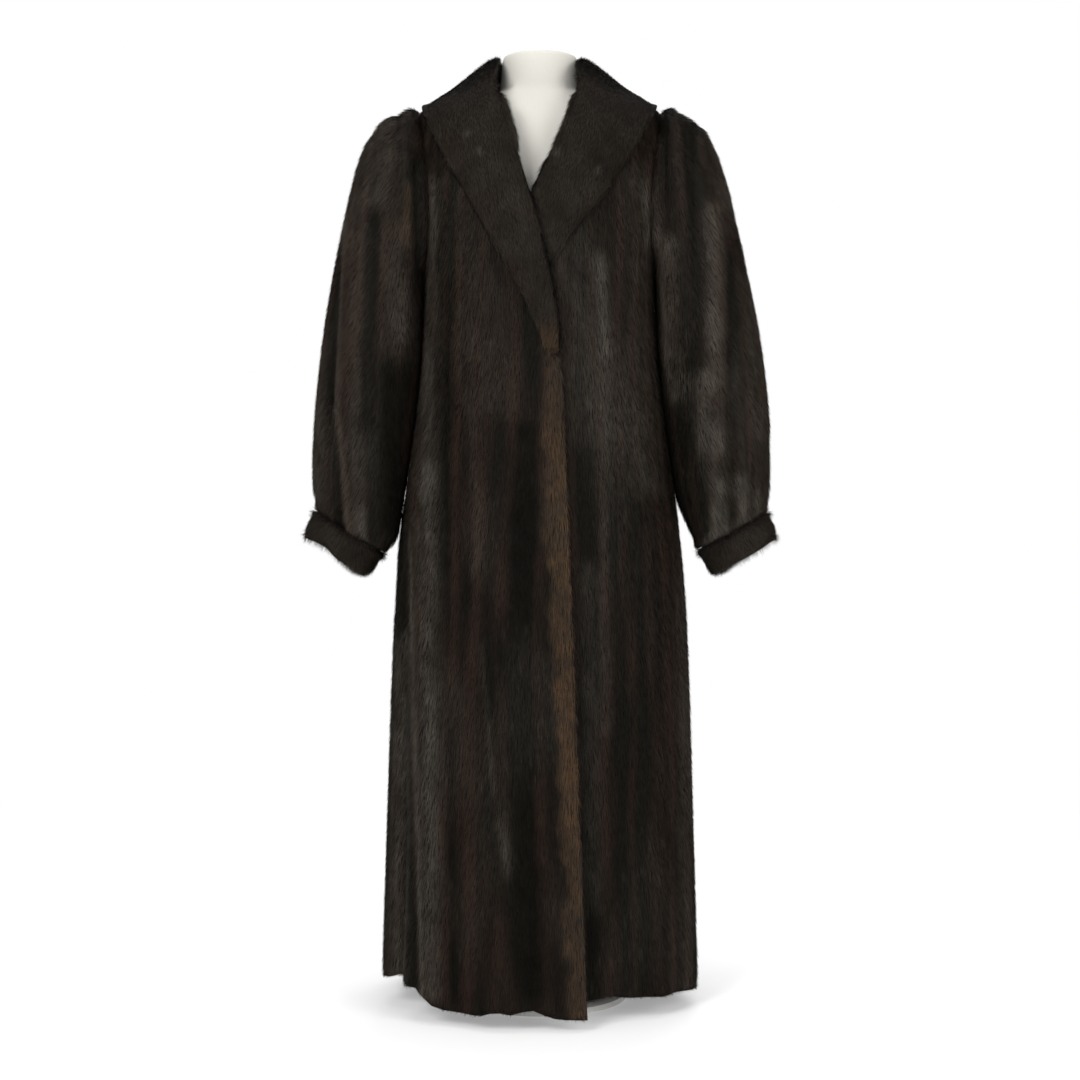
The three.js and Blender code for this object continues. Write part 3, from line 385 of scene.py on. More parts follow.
def furTree():
    tree, given = newGroup("growFur", "Geometry", [
        ("Geometry", "Geometry"), ("Hair", "Object"), ("Density", "Float"), ("Length", "Float"),
        ("Width", "Float"), ("Lift", "Float"), ("Spread", "Float"), ("Roll", "Float"), ("Seed", "Int"),
        ("Finish", "Material")], [("Geometry", "Geometry")])

    def named(label, kind):
        return addNode(tree, "GeometryNodeInputNamedAttribute", {"Name": label}, data_type=kind).outputs[0]

    def chance(varied, extra):
        node = addNode(tree, "FunctionNodeRandomValue",
                       {"Seed": mathNode(tree, "ADD", given["Seed"], extra)}, data_type="FLOAT")
        ends = [socket for socket in node.inputs if socket.name in ("Min", "Max") and socket.enabled]
        for socket, value in zip(ends, hairVaried[varied]):
            socket.default_value = value
        return next(socket for socket in node.outputs if socket.enabled)

    cover = named("cover", "FLOAT")
    density = mathNode(tree, "MULTIPLY", given["Density"], cover)
    roots = addNode(tree, "GeometryNodeDistributePointsOnFaces",
                    {"Mesh": given["Geometry"], "Density": density, "Seed": given["Seed"]},
                    distribute_method="RANDOM")
    up = addNode(tree, "GeometryNodeStoreNamedAttribute",
                 {"Geometry": roots.outputs["Points"], "Name": "up", "Value": roots.outputs["Normal"]},
                 data_type="FLOAT_VECTOR", domain="POINT")
    normal = named("up", "FLOAT_VECTOR")
    nap = named("nap", "FLOAT_VECTOR")
    against = vectorNode(tree, "DOT_PRODUCT", nap, normal)
    flat = vectorNode(tree, "NORMALIZE", vectorNode(tree, "SUBTRACT", nap, scaled(tree, normal, against)))
    lift = mathNode(tree, "MULTIPLY", given["Lift"], chance("lift", 11))
    sideways = vectorNode(tree, "CROSS_PRODUCT", normal, flat)
    astray = scaled(tree, sideways, mathNode(tree, "MULTIPLY", given["Spread"], chance("side", 12)))
    lie = vectorNode(tree, "ADD", scaled(tree, flat, mathNode(tree, "COSINE", lift)),
                     scaled(tree, normal, mathNode(tree, "SINE", lift)))
    lie = vectorNode(tree, "ADD", lie, astray)
    turned = addNode(tree, "FunctionNodeAxesToRotation", {0: lie, 1: normal},
                     primary_axis="Z", secondary_axis="Y")
    roll = mathNode(tree, "MULTIPLY", given["Roll"], chance("side", 13))
    spin = addNode(tree, "FunctionNodeAxisAngleToRotation", {"Axis": (0, 0, 1), "Angle": roll})
    rolled = addNode(tree, "FunctionNodeRotateRotation",
                     {"Rotation": turned.outputs[0], "Rotate By": spin.outputs[0]}, rotation_space="LOCAL")
    length = mathNode(tree, "MULTIPLY", given["Length"], named("reach", "FLOAT"))
    length = mathNode(tree, "MULTIPLY", length, chance("length", 14))
    width = mathNode(tree, "MULTIPLY", given["Width"], chance("width", 15))
    size = addNode(tree, "ShaderNodeCombineXYZ", {"X": width, "Y": 1.0, "Z": length})
    hair = addNode(tree, "GeometryNodeObjectInfo", {"Object": given["Hair"]})
    planted = addNode(tree, "GeometryNodeInstanceOnPoints",
                      {"Points": up.outputs[0], "Instance": hair.outputs["Geometry"],
                       "Rotation": rolled.outputs[0], "Scale": size.outputs[0]})
    whole = addNode(tree, "GeometryNodeRealizeInstances", {"Geometry": planted.outputs[0]})
    dressed = addNode(tree, "GeometryNodeSetMaterial",
                      {"Geometry": whole.outputs[0], "Material": given["Finish"]})
    addNode(tree, "NodeGroupOutput", {"Geometry": dressed.outputs[0]})
    return tree


def clearNotes(mesh):
    # what furnish noted for growing the fur isn't needed after it
    for label in ("nap", "cover", "reach", "deep"):
        if label in mesh.attributes:
            mesh.attributes.remove(mesh.attributes[label])


def newHair():
    # one tapered blade, a metre long and wide, that each modifier scales down
    mesh = bpy.data.meshes.new("hairBlade")
    mesh.from_pydata([(-0.5, 0, 0), (0.5, 0, 0), (0, 0, 1)], [], [(0, 1, 2)])
    return newPiece("hairBlade", mesh)


growFur = furTree()
hairBlade = newHair()


def grow(pelt, name, settings, material, spec):
    fur = newPiece(name, pelt.data.copy())
    modifier = fur.modifiers.new("fur", "NODES")
    modifier.node_group = growFur
    given = {item.name: item.identifier for item in growFur.interface.items_tree if item.in_out == "INPUT"}
    for label, value in {"Hair": hairBlade, "Finish": material, **settings}.items():
        modifier[given[label]] = value
    applied(fur)
    mesh = fur.data
    corners = meshArray(mesh.vertices, "co", 3).reshape(-1, 3, 3)   # two at the root, one at the tip
    root = corners[:, :2].mean(1)
    upward = meshArray(mesh.attributes["up"].data, "vector", 3).reshape(-1, 3, 3)[:, 0]
    deep, slope = creasesAt(root, spec)
    lower = meshArray(mesh.attributes["deep"].data, "value", 1).reshape(-1, 3)[:, 0] * mm   # as the pelt
    corners = corners - (awayFrom(root, spec) * lower[:, None])[:, None, :]
    slope -= upward * (slope * upward).sum(1, keepdims=True)   # along the surface
    upward = unit(upward + slope * creaseRelief)
    mesh.vertices.foreach_set("co", corners.ravel())
    mesh.attributes["up"].data.foreach_set("vector", np.repeat(upward, 3, 0).astype(np.float32).ravel())
    tone, warm, silver = toneFor(spec)(root, deep)
    values = np.zeros((len(root), 3, 4))
    for channel, value in enumerate((tone, warm, silver)):
        values[:, :, channel] = value[:, None]
    values[:, 2, 3] = 1
    paint = mesh.attributes.new("hairTone", "FLOAT_COLOR", "POINT")
    paint.data.foreach_set("color", values.ravel().astype(np.float32))
    clearNotes(mesh)
    mesh.materials.clear()
    mesh.materials.append(material)
    print(f"{name}: {len(mesh.polygons)} hairs")
    return fur


# Colours of the fur

mink = {
    "deep": (0.0056, 0.0048, 0.0030, 1),      # the dark lines of the skins
    "plum": (0.0365, 0.0200, 0.0140, 1),      # between them
    "taupe": (0.0350, 0.0240, 0.0165, 1),     # the collar's and the cuffs'
    "amber": (0.098, 0.060, 0.0340, 1),       # the border and the collar's end beside it, and a few painted warm highlights on the sleeves
    "silver": (0.130, 0.115, 0.095, 1),       # where the nap turns to the light
    "rootShade": 0.55,    # a root's colour as a share of the tip's
    "plush": 0.78,        # how much a hair is lit as the surface under it
    "roughness": 0.5,
    "shine": 0.03,
}


def hairEffect():
    # a hair's colour and the soft light on it, the same in the coat and in its collar
    tree, given = newGroup("hairColour", "Shader", [("Deep", "Color"), ("Plum", "Color"), ("Amber", "Color"),
                                                    ("Silver", "Color")],
                           [("Color", "Color"), ("Normal", "Vector")])
    paint = addNode(tree, "ShaderNodeAttribute", attribute_name="hairTone")
    split = addNode(tree, "ShaderNodeSeparateColor", {"Color": paint.outputs["Color"]})
    colour = mixed(tree, split.outputs["Red"], given["Deep"], given["Plum"])
    # blue mixes in the painted grey highlights, and green the amber: the border's own colour and a few
    # painted warm highlights
    colour = mixed(tree, split.outputs["Blue"], colour, given["Silver"])
    colour = mixed(tree, split.outputs["Green"], colour, given["Amber"])
    shade = mathNode(tree, "MULTIPLY_ADD", paint.outputs["Alpha"], 1 - mink["rootShade"], mink["rootShade"])
    grey = addNode(tree, "ShaderNodeCombineColor", {"Red": shade, "Green": shade, "Blue": shade})
    colour = mixed(tree, 1.0, colour, grey.outputs["Color"], "MULTIPLY")
    # a hair takes most of its light as the surface under it does
    under = addNode(tree, "ShaderNodeAttribute", attribute_name="up").outputs["Vector"]
    own = addNode(tree, "ShaderNodeNewGeometry").outputs["Normal"]
    both = vectorNode(tree, "ADD", scaled(tree, under, mink["plush"]),
                      scaled(tree, own, 1 - mink["plush"]))
    even = vectorNode(tree, "NORMALIZE", both)
    addNode(tree, "NodeGroupOutput", {"Color": colour, "Normal": even})
    return tree


fineMottle = mottleEffect()
hairColour = hairEffect()


def furFinish(name, plum):
    tree, surface = newMaterial(name, mink["roughness"], **{"Specular IOR Level": mink["shine"]})
    takeEffect(tree, surface, hairColour, {"Deep": mink["deep"], "Plum": plum, "Amber": mink["amber"],
                                           "Silver": mink["silver"]})
    return bpy.data.materials[name]


def leatherFinish():
    return newMottled("peltUnderfur", roughness=0.9, scale=(900, 900, 60), low=(0.004, 0.0035, 0.003, 1),
                      high=(0.012, 0.009, 0.008, 1), raised=1.0, **{"Specular IOR Level": 0.1})


def liningFinish():
    return newMottled("satinLining", roughness=0.42, scale=(300, 300, 2500), low=(0.010, 0.0070, 0.0055, 1),
                      high=(0.016, 0.0110, 0.0090, 1), raised=0.15, **{"Specular IOR Level": 0.2})


# Where the photo's pixels fall, for what is listed in them

def seenAt(points):
    away = photo["distance"] / (photo["distance"] + points[:, 1])
    across = photo["midX"] + points[:, 0] * away / photo["scale"]
    down = photo["midY"] - (points[:, 2] - photo["eyeHeight"]) * away / photo["scale"]
    return across, down


def line(start, end, wide, **more):
    # a row of the tables below, from one pixel of the photo to another
    return {"x": start[0], "y": start[1], "toX": end[0], "toY": end[1], "wide": wide, **more}


# Streaks in the fur: grey ones are painted highlights, brown (or dark, below zero) and amber
frontStreaks = [
    line((433, 190), (430, 480), 8, silver=0.42, plum=0.2),
    line((430, 470), (433, 985), 9, silver=0.45, plum=0.1),
    line((403, 640), (399, 985), 9, silver=0.42, plum=0.4),
    line((413, 540), (417, 720), 3, silver=0.45, plum=0.1),
    line((417, 720), (424, 985), 3, silver=0.45, plum=0.1),
    line((466, 260), (470, 985), 24, silver=-0.02, plum=0.36),
    line((474, 400), (480, 560), 6, silver=0.12, plum=0.3),
    line((483, 650), (494, 780), 3, silver=0.16, plum=0.3),
    line((504, 822), (508, 862), 5, silver=0.34, plum=0.1),
    line((524, 430), (532, 985), 16, silver=-0.05, plum=-0.75),
    line((504, 620), (512, 800), 9, silver=-0.03, plum=-0.5),
    line((450, 560), (455, 985), 4, silver=-0.02, plum=-0.4),
    line((588, 570), (594, 900), 9, silver=0.20, plum=0.1),
    line((600, 262), (607, 345), 7, silver=0.50, plum=0.1),
    line((608, 350), (604, 720), 8, silver=0.16, plum=0.1),
    line((570, 220), (598, 430), 24, silver=0.20, plum=0.1),
    line((640, 440), (642, 985), 24, silver=0.0, plum=-0.15),
    line((645, 190), (648, 230), 5, silver=0.35, plum=0.3),
    line((636, 170), (646, 480), 18, silver=0.20, plum=0.1),
    line((680, 520), (687, 985), 7, silver=0.20, plum=0.2),
    line((462, 180), (492, 400), 28, silver=0.14, plum=0.2),
]

# on the sleeves the streaks paint the light and shade of the folds: grey and brown painted highlights on
# their lit ridges, a few warm amber ones, and painted shade (below zero) in troughs
sleeveStreaks = [
    line((409, 192), (408, 232), 5, silver=0.30, amber=0.6, plum=0.4),
    line((398, 228), (400, 345), 16, silver=0.20, plum=0.8),
    line((402, 290), (404, 325), 8, silver=0.30, plum=0.2),
    line((386, 118), (378, 190), 20, silver=0.20, plum=0.5),
    line((348, 215), (340, 405), 3, silver=0.45, plum=0.2),
    line((340, 405), (352, 533), 3, silver=0.40, amber=0.3, plum=0.3),
    line((361, 200), (358, 520), 9, silver=0.16, plum=0.6),
    line((394, 365), (386, 515), 15, silver=0.0, plum=-0.8),
    line((324, 300), (320, 490), 8, silver=0.16, plum=0.4),
    line((650, 190), (656, 235), 6, silver=0.35, plum=0.3),
    line((667, 245), (669, 345), 9, silver=0.46, amber=0.12, plum=0.4),
    line((672, 355), (676, 385), 8, silver=0.42, plum=0.3),
    line((712, 215), (714, 375), 10, silver=0.42, plum=0.6),
    line((700, 380), (712, 440), 14, silver=0.42, plum=0.6),
    line((712, 435), (716, 480), 14, silver=0.16, plum=0.7),
    line((719, 486), (711, 538), 8, silver=0.62, plum=0.3),
    line((725, 512), (725, 534), 4, silver=0.45, plum=0.2),
    line((741, 484), (744, 522), 8, silver=0.58, plum=0.3),
    line((757, 496), (757, 514), 4, silver=0.38, plum=0.2),
    line((682, 430), (684, 495), 9, silver=0.0, plum=-0.7),
    line((362, 515), (367, 550), 6, silver=0.38, plum=0.2),
    line((720, 110), (730, 200), 16, silver=0.20, plum=0.4),
    line((748, 280), (758, 430), 9, silver=0.16, plum=0.3),
]
streakFade = 22   # pixels over which a streak or crease dies out at either end
streakGrain = {"middle": 0.8, "varied": 0.3}   # its strength along the way

# Troughs (and, below zero, ridges) in the cloth, in pixels of the photo and a depth in millimetres
frontCreases = [
    line((404, 470), (406, 720), 7, deep=6),
    line((406, 720), (412, 1010), 7, deep=6),
    line((417, 480), (419, 720), 7, deep=-3),
    line((419, 720), (426, 1010), 7, deep=-3),
    line((446, 200), (444, 560), 8, deep=3),
    line((520, 520), (530, 1010), 15, deep=3.5),
    line((486, 600), (500, 900), 10, deep=2),
    line((586, 380), (590, 1000), 9, deep=3),
    line((618, 340), (622, 900), 8, deep=2),
    line((640, 470), (646, 1010), 15, deep=3),
    line((664, 520), (672, 1010), 8, deep=-2),
]
sleeveCreases = [
    line((342, 240), (334, 400), 5, deep=6),
    line((334, 400), (345, 540), 5, deep=6),
    line((351, 240), (343, 400), 6, deep=-4),
    line((343, 400), (354, 540), 6, deep=-4),
    line((374, 225), (370, 420), 7, deep=6),
    line((370, 420), (376, 530), 6, deep=4),
    line((420, 165), (425, 350), 6, deep=5),
    line((398, 380), (392, 520), 14, deep=4),
    line((400, 112), (398, 190), 4, deep=3),
    line((380, 112), (372, 180), 4, deep=2.5),
    line((694, 130), (697, 360), 6, deep=6),
    line((690, 370), (682, 450), 8, deep=6),
    line((668, 250), (671, 350), 8, deep=-4),
    line((713, 210), (715, 400), 9, deep=-4),
    line((731, 256), (732, 350), 5, deep=5),
    line((732, 350), (730, 510), 6, deep=6),
    line((706, 420), (704, 530), 5, deep=4),
    line((664, 110), (664, 190), 4, deep=3),
    line((684, 112), (688, 180), 4, deep=2.5),
    line((706, 116), (714, 190), 4, deep=2.5),
]
# fullness that the outline shows, the same all through
sleeveFullness = [
    line((706, 112), (738, 185), 13, deep=-7),
    line((738, 185), (752, 250), 12, deep=-4),
    line((752, 250), (768, 420), 9, deep=-2.5),
]
bodyFullness = [
    line((684, 480), (694, 760), 10, deep=-4),
    line((694, 760), (700, 1020), 10, deep=-4),
    line((392, 580), (376, 1020), 10, deep=2.5),
]
behindShift = 17     # the creases behind are mirrored, and moved by this many pixels
creaseShade = 0.08   # how much darker a trough is for each millimetre of its depth
creaseRelief = 1.5   # how strongly its slopes turn to and from the light
creaseStep = 2 * mm
# the same down both sides of the skirt, in millimetres of depth and height
sideCreases = [
    {"y": -88, "z": 760, "toY": -98, "toZ": 20, "wide": 13, "deep": 5},
    {"y": -34, "z": 640, "toY": -30, "toZ": 20, "wide": 12, "deep": 4},
    {"y": 22, "z": 700, "toY": 30, "toZ": 20, "wide": 14, "deep": 5},
    {"y": 84, "z": 600, "toY": 102, "toZ": 20, "wide": 13, "deep": 5},
    {"y": 130, "z": 680, "toY": 150, "toZ": 20, "wide": 12, "deep": 4},
]
sideFade = 90        # millimetres of height
sleeveFolds = 1.35   # a sleeve's folds are softer and deeper than the table says
# how far a surface faces sideways where the front's creases end and the sides' begin
creaseTurn = {"body": (0.80, 0.97), "sleeve": (0.72, 0.93), "sides": (0.75, 0.95)}


def alongLine(row, across, down):
    # 1 on the line of a table's row and 0 away from it
    along = np.clip((down - row["y"]) / (row["toY"] - row["y"]), 0, 1)
    middle = row["x"] + (row["toX"] - row["x"]) * along
    ends = smoothStep(down, row["y"] - streakFade, row["y"]) * fallStep(
        down, row["toY"], row["toY"] + streakFade)
    return bump(across - middle, row["wide"]) * ends


def seenOrMirrored(points, midY):
    # the photo's pixels ahead of the middle, and the same behind it, mirrored and moved
    across, down = seenAt(points)
    behind = points[:, 1] > midY
    return np.where(behind, 2 * photo["midX"] - across + behindShift, across), down


def streaks(table, points, midY):
    across, down = seenOrMirrored(points, midY)
    silver, plum, amber = (np.zeros(len(points)) for _ in range(3))
    for index, row in enumerate(table):
        broken = streakGrain["middle"] + streakGrain["varied"] * softNoise(points, "streak", index)
        here = alongLine(row, across, down) * broken
        silver += here * row["silver"]
        plum += here * row["plum"]
        amber += here * row.get("amber", 0)
    return silver, plum, amber


def frontAndBack(table, points, midY):
    # millimetres that the cloth lies lower, ahead as in the photo and much the same behind
    across, down = seenOrMirrored(points, midY)
    return sum(alongLine(row, across, down) * row["deep"] for row in table)


def allThrough(table, points):
    return sum(alongLine(row, *seenAt(points)) * row["deep"] for row in table)


def downTheSides(points):
    deep = np.zeros(len(points))
    for row in sideCreases:
        height = points[:, 2] / mm
        along = np.clip((row["z"] - height) / (row["z"] - row["toZ"]), 0, 1)
        middle = row["y"] + (row["toY"] - row["y"]) * along
        ends = fallStep(height, row["z"] - sideFade, row["z"])
        deep += bump(points[:, 1] / mm - middle, row["wide"]) * ends * row["deep"]
    aside = np.abs(bodyAway(points)[:, 0])
    return deep * smoothStep(aside, *creaseTurn["sides"])


def creaseDepth(points, spec):
    if spec["kind"] == "body":
        facing = fallStep(np.abs(bodyAway(points)[:, 0]), *creaseTurn["body"])
        return frontAndBack(frontCreases, points, bodyMid["y"]) * facing + downTheSides(
            points) + allThrough(bodyFullness, points)
    if spec["kind"] == "tube" and spec["depth"] != "cuff":
        facing = fallStep(np.abs(tubeAway(points)[:, 0]), *creaseTurn["sleeve"])
        return frontAndBack(sleeveCreases, points, sleeveDepth) * facing * sleeveFolds + allThrough(
            sleeveFullness, points)
    return np.zeros(len(points))


def creasesAt(points, spec):
    # the depth at each point in millimetres, and which way it deepens
    slope = np.zeros_like(points)
    for axis in range(3):
        step = np.zeros(3)
        step[axis] = creaseStep
        ahead, behind = (creaseDepth(points + way * step, spec) for way in (1, -1))
        slope[:, axis] = (ahead - behind) * mm / (2 * creaseStep)
    return creaseDepth(points, spec), slope


def awayFrom(points, spec):
    if spec["kind"] == "body":
        return bodyAway(points)
    return tubeAway(points) if spec["kind"] == "tube" else np.zeros_like(points)


# let-out skins round the coat and round a sleeve, and what makes up their brown
skins = {"coat": 34, "sleeve": 15, "squareness": 2.4, "drift": 0.25, "flank": (0.10, 0.95),
         "base": 0.08, "line": 0.44, "own": 0.32, "fine": 0.20, "cloudy": 0.14}


def girth(steps=720):
    # share of the way round a squarish oval, by its angle from the middle of the front
    angle = np.linspace(-math.pi, math.pi, steps + 1)
    power = skins["squareness"]
    reach = (np.abs(np.sin(angle)) ** power + np.abs(np.cos(angle) / bodyMid["depthShare"]) ** power) ** (
        -1 / power)
    x, y = reach * np.sin(angle), reach * np.cos(angle)
    walked = np.concatenate([[0], np.cumsum(np.hypot(np.diff(x), np.diff(y)))])
    return angle, walked / walked[-1]


girthAngle, girthShare = girth()


def skinLines(share, count, points, seed):
    # dark down the middle of each skin, browner on its flanks, each skin a little different
    drift = skins["drift"] * softNoise(points, "drift", seed + 1)
    place = share * count + drift
    number = np.floor(place).astype(int)
    across = np.abs(place - number - 0.5) * 2
    own = np.random.default_rng(seed).uniform(0, 1, count + 4)[number + 1]
    flank = smoothStep(across, *skins["flank"])
    fine = softNoise(points, "fine", seed + 2)
    cloudy = softNoise(points, "cloudy", seed + 3)
    return skins["base"] + skins["line"] * flank + skins["own"] * (own - 0.5) + (
        skins["fine"] * fine) + skins["cloudy"] * cloudy


glint = {"base": 0.060, "fleck": 0.12, "cloud": 0.10, "over": 0.5}


def glints(points, seed):
    # painted highlights: a faint grey sheen all over, with small grey glints and soft clouds of sheen on the
    # nap
    fleck = softNoise(points, "fleck", seed)
    cloud = softNoise(points, "cloud", seed + 1)
    glinting = np.clip(fleck - glint["over"], 0, 1) * np.clip(glint["over"] + cloud, 0, 1)
    return glint["base"] + glinting * glint["fleck"] + np.clip(cloud, 0, 1) * glint["cloud"]


hairMix = {"plum": 0.55, "varied": 0.18}   # how much a streak's brown and each hair's own chance count


def mixTone(points, base, silver, plum, amber, seed):
    chance = np.random.default_rng(seed).uniform(0, 1, len(points))
    tone = np.clip(base + hairMix["plum"] * plum + hairMix["varied"] * (chance - 0.5), 0, 1)
    silver = np.clip(silver * (0.5 + chance), 0, 1)
    return tone, np.clip(amber, 0, 1), silver


# the worn border's edge, and how amber it is there, at heights in millimetres
borderLine = [
    {"z": 20, "x": 58, "amber": 0.60}, {"z": 220, "x": 54, "amber": 0.70},
    {"z": 310, "x": 49, "amber": 1.0}, {"z": 470, "x": 40, "amber": 0.75},
    {"z": 600, "x": 35, "amber": 0.90}, {"z": 720, "x": 28, "amber": 0.85},
    {"z": 780, "x": 29, "amber": 0.55}, {"z": 880, "x": 27, "amber": 0.20},
]
border = {"wide": 31, "top": 905, "fade": 60, "amber": 0.84, "soft": 17, "ragged": 5, "grey": 0.14,
          "patchy": 0.45, "ahead": (0.0, 0.06)}
paintTurn = {"body": (0.2, 0.5), "sleeve": (0.0, 0.03)}   # no streaks on the sides


def alongBorder(points, label, size=1):
    heights = [row["z"] * mm for row in borderLine]
    return np.interp(points[:, 2], heights, [row[label] * size for row in borderLine])


def coatTone(seed, withBorder):
    def tone(points, deep):
        angle = np.arctan2(points[:, 0] - bodyMid["x"], -(points[:, 1] - bodyMid["y"]))
        share = np.interp(angle, girthAngle, girthShare)
        # the troughs are painted darker as shade, and the grey streaks and glints are painted highlights
        base = skinLines(share, skins["coat"], points, seed) - creaseShade * deep
        silver, plum, amber = streaks(frontStreaks, points, bodyMid["y"])
        ahead = smoothStep(-points[:, 1], *border["ahead"])
        turned = smoothStep(np.abs(bodyAway(points)[:, 1]), *paintTurn["body"])
        silver, plum = silver * turned + glints(points, seed + 6), plum * turned
        if withBorder:
            edge = alongBorder(points, "x", mm)
            inside = (edge - points[:, 0]) / mm + border["ragged"] * softNoise(points, "ragged", 4)
            strip = fallStep(inside, border["wide"] - border["soft"], border["wide"]) * ahead
            strip *= fallStep(points[:, 2], (border["top"] - border["fade"]) * mm, border["top"] * mm)
            worn = alongBorder(points, "amber")
            patchy = softNoise(points, "worn", 3) + softNoise(points, "scuffed", 9)
            amber = amber + strip * worn * border["amber"] * (1.0 + border["patchy"] * patchy)
            # a painted grey sheen along the border
            silver = silver + strip * border["grey"]
        return mixTone(points, base, silver, plum, amber, seed)
    return tone


# the sleeves' painted highlights: how strong their grey streaks are, and a faint painted grey sheen all over
sleevePaint = {"silver": 1.15, "grey": 0.03}


def sleeveTone(seed):
    def tone(points, deep):
        middle = sleeveMiddle(points)(points[:, 2])
        angle = np.arctan2(points[:, 0] - middle[:, 0], -(points[:, 1] - middle[:, 1]))
        share = (angle + math.pi) / (2 * math.pi)
        # the troughs are painted darker as shade, and the grey streaks, glints and sheen are painted
        # highlights
        base = skinLines(share, skins["sleeve"], points, seed) - creaseShade * deep
        silver, plum, amber = streaks(sleeveStreaks, points, sleeveDepth)
        facing = smoothStep(np.abs(points[:, 1] - middle[:, 1]), *paintTurn["sleeve"])
        silver = silver * facing * sleevePaint["silver"] + glints(points, seed + 6) + sleevePaint["grey"]
        return mixTone(points, base, silver, plum * facing, amber * facing, seed)
    return tone


# grey is a painted sheen over the whole collar and the cuffs, and fleck the painted glints at the points
# listed below
collarPaint = {"tone": 0.34, "toneVaried": 0.20, "grey": 0.15, "greyVaried": 0.05, "fleck": 0.35,
               "end": (308, 345), "endBelow": 400, "endAmber": 0.6}
collarGlints = [{"x": 467, "y": 132}, {"x": 480, "y": 149}, {"x": 558, "y": 149}, {"x": 600, "y": 168}]
glintWide = 4
# painted highlight: a lighter brown band where the light catches the collar's outer rim
collarRimLight = [
    line((448, 146), (546, 330), 10, silver=-0.06, plum=0.55),
    line((652, 128), (560, 258), 10, silver=-0.06, plum=0.55),
]


def collarTone(seed):
    def tone(points, deep):
        across, down = seenAt(points)
        base = collarPaint["tone"] + collarPaint["toneVaried"] * softNoise(points, "collarTone", seed)
        silver = collarPaint["grey"] + collarPaint["greyVaried"] * softNoise(points, "collarGrey", seed + 2)
        for fleck in collarGlints:
            away = np.hypot(across - fleck["x"], down - fleck["y"])
            silver += collarPaint["fleck"] * bump(away, glintWide)
        greyer, plum, none = streaks(collarRimLight, points, bodyMid["y"])
        end = smoothStep(down, *collarPaint["end"]) * (points[:, 1] < 0)
        end *= down < collarPaint["endBelow"]
        return mixTone(points, base, silver + greyer, plum, none + end * collarPaint["endAmber"], seed)
    return tone


# The coat's panels

naps = {"body": (0.0, 0.0), "tube": (0.45, 0.0), "collar": (-0.25, -0.5)}   # out and back, for 1 down
coatNodes = ["front_right", "front_left", "back", "collar", "sleeve_right", "sleeve_left", "cuff_right",
             "cuff_left"]
coverEdge = (-0.30, 0.12)   # the fur turns round the free edges and stops at the lining
collarAir = 45 * mm   # clear space in front of the collar's fur side
layerAir = 2.5 * mm   # and in front of the other panels' fur
seamReach = (1.0 * mm, 3.0 * mm)
crevice = {"gap": (5 * mm, 16 * mm), "share": 0.9}   # between two panels the fur stands proud
tip = {"height": (895 * mm, 915 * mm), "longer": 0.45}   # longer fur hides the collar's end
# the hem rises in waves: where across the photo, how wide there, and by how many millimetres
hemWaves = [
    {"node": "front_right", "x": 396, "wide": 12, "up": 7},
    {"node": "front_right", "x": 413, "wide": 16, "up": 20},
    {"node": "front_right", "x": 497, "wide": 13, "up": 8},
    {"node": "front_right", "x": 531, "wide": 17, "up": 11},
    {"node": "front_left", "x": 610, "wide": 16, "up": 6},
    {"node": "front_left", "x": 650, "wide": 18, "up": 2},
]
hemRise = (940, 1005)   # how far down the photo they begin and are full
hem = {"gap": (2 * mm, 16 * mm), "reach": 0.45, "downward": -0.8}   # clipped along free lower edges
liningFrom = {"body": -0.35, "tube": -0.35, "collar": -0.95}
# how far the leather lies under the roots where a crease is deeper than this, in millimetres
peltUnder = {"by": 0.8 * mm, "deep": (0.5, 2), "turn": (0, 0.3)}
# the collar's fur leans inward along its V, lies flat on the shoulders and is clipped round the neck
vEdge = {"inwards": (0.25, 0.75), "right": 1.9, "left": 1.1, "low": (1125 * mm, 1165 * mm),
         "high": (1218 * mm, 1228 * mm), "longer": 0.4}
shoulder = {"out": (78 * mm, 125 * mm), "upwards": (0.2, 0.5), "behind": -95 * mm, "deeper": 0.3,
            "reach": 0.4}
neckEdge = {"height": (1235 * mm, 1262 * mm), "upwards": (0.6, 0.9), "inwards": (0.2, 0.5), "lower": 0.5,
            "reach": 0.4}
alike = {"near": 15 * mm, "facing": 0.3}
wallThickness = 9 * mm   # of the coat's soft walls
innerTurn = 0.3          # the wall's inner side is where its surface turns from the outside by more
seamFacing = 0.5         # and its face where the surface turns to the outside by more
# lower at both ends and beside the tip, and full under it; the tip's place is across the photo
cuffShape = {"ends": 0.9, "beside": 0.5, "under": 1.1, "reach": 0.5, "tip": {"right": 360, "left": 719},
             "tipWide": 20, "outwards": (0.4, 0.85), "inwards": (0.25, 0.75), "innerLess": 0.7,
             "downwards": (0.3, 0.8)}
sleeveHead = {"out": (172 * mm, 190 * mm), "height": (1175 * mm, 1200 * mm), "upwards": (0.1, 0.6),
              "raised": {"right": 2.1, "left": 2.9}}


def treeOf(points):
    tree = KDTree(len(points))
    for index, point in enumerate(points):
        tree.insert(point, index)
    tree.balance()
    return tree


def agreed(points, normals, values):
    # each point takes what most points round it on the same side have
    tree = treeOf(points)
    result = np.zeros(len(points))
    for index, point in enumerate(points):
        near = np.array([found[1] for found in tree.find_range(point, alike["near"])])
        near = near[normals[near] @ normals[index] > alike["facing"]]
        result[index] = values[near].mean() > 0.5
    return result


def nearEdge(points, normals, near, far):
    # 1 beside a lower free edge and 0 from the far distance on
    rim = points[normals[:, 2] < hem["downward"]]
    if not len(rim):
        return np.zeros(len(points))
    tree = treeOf(rim)
    gaps = np.array([tree.find(point)[2] for point in points])
    return 1 - smoothStep(gaps, near, far)


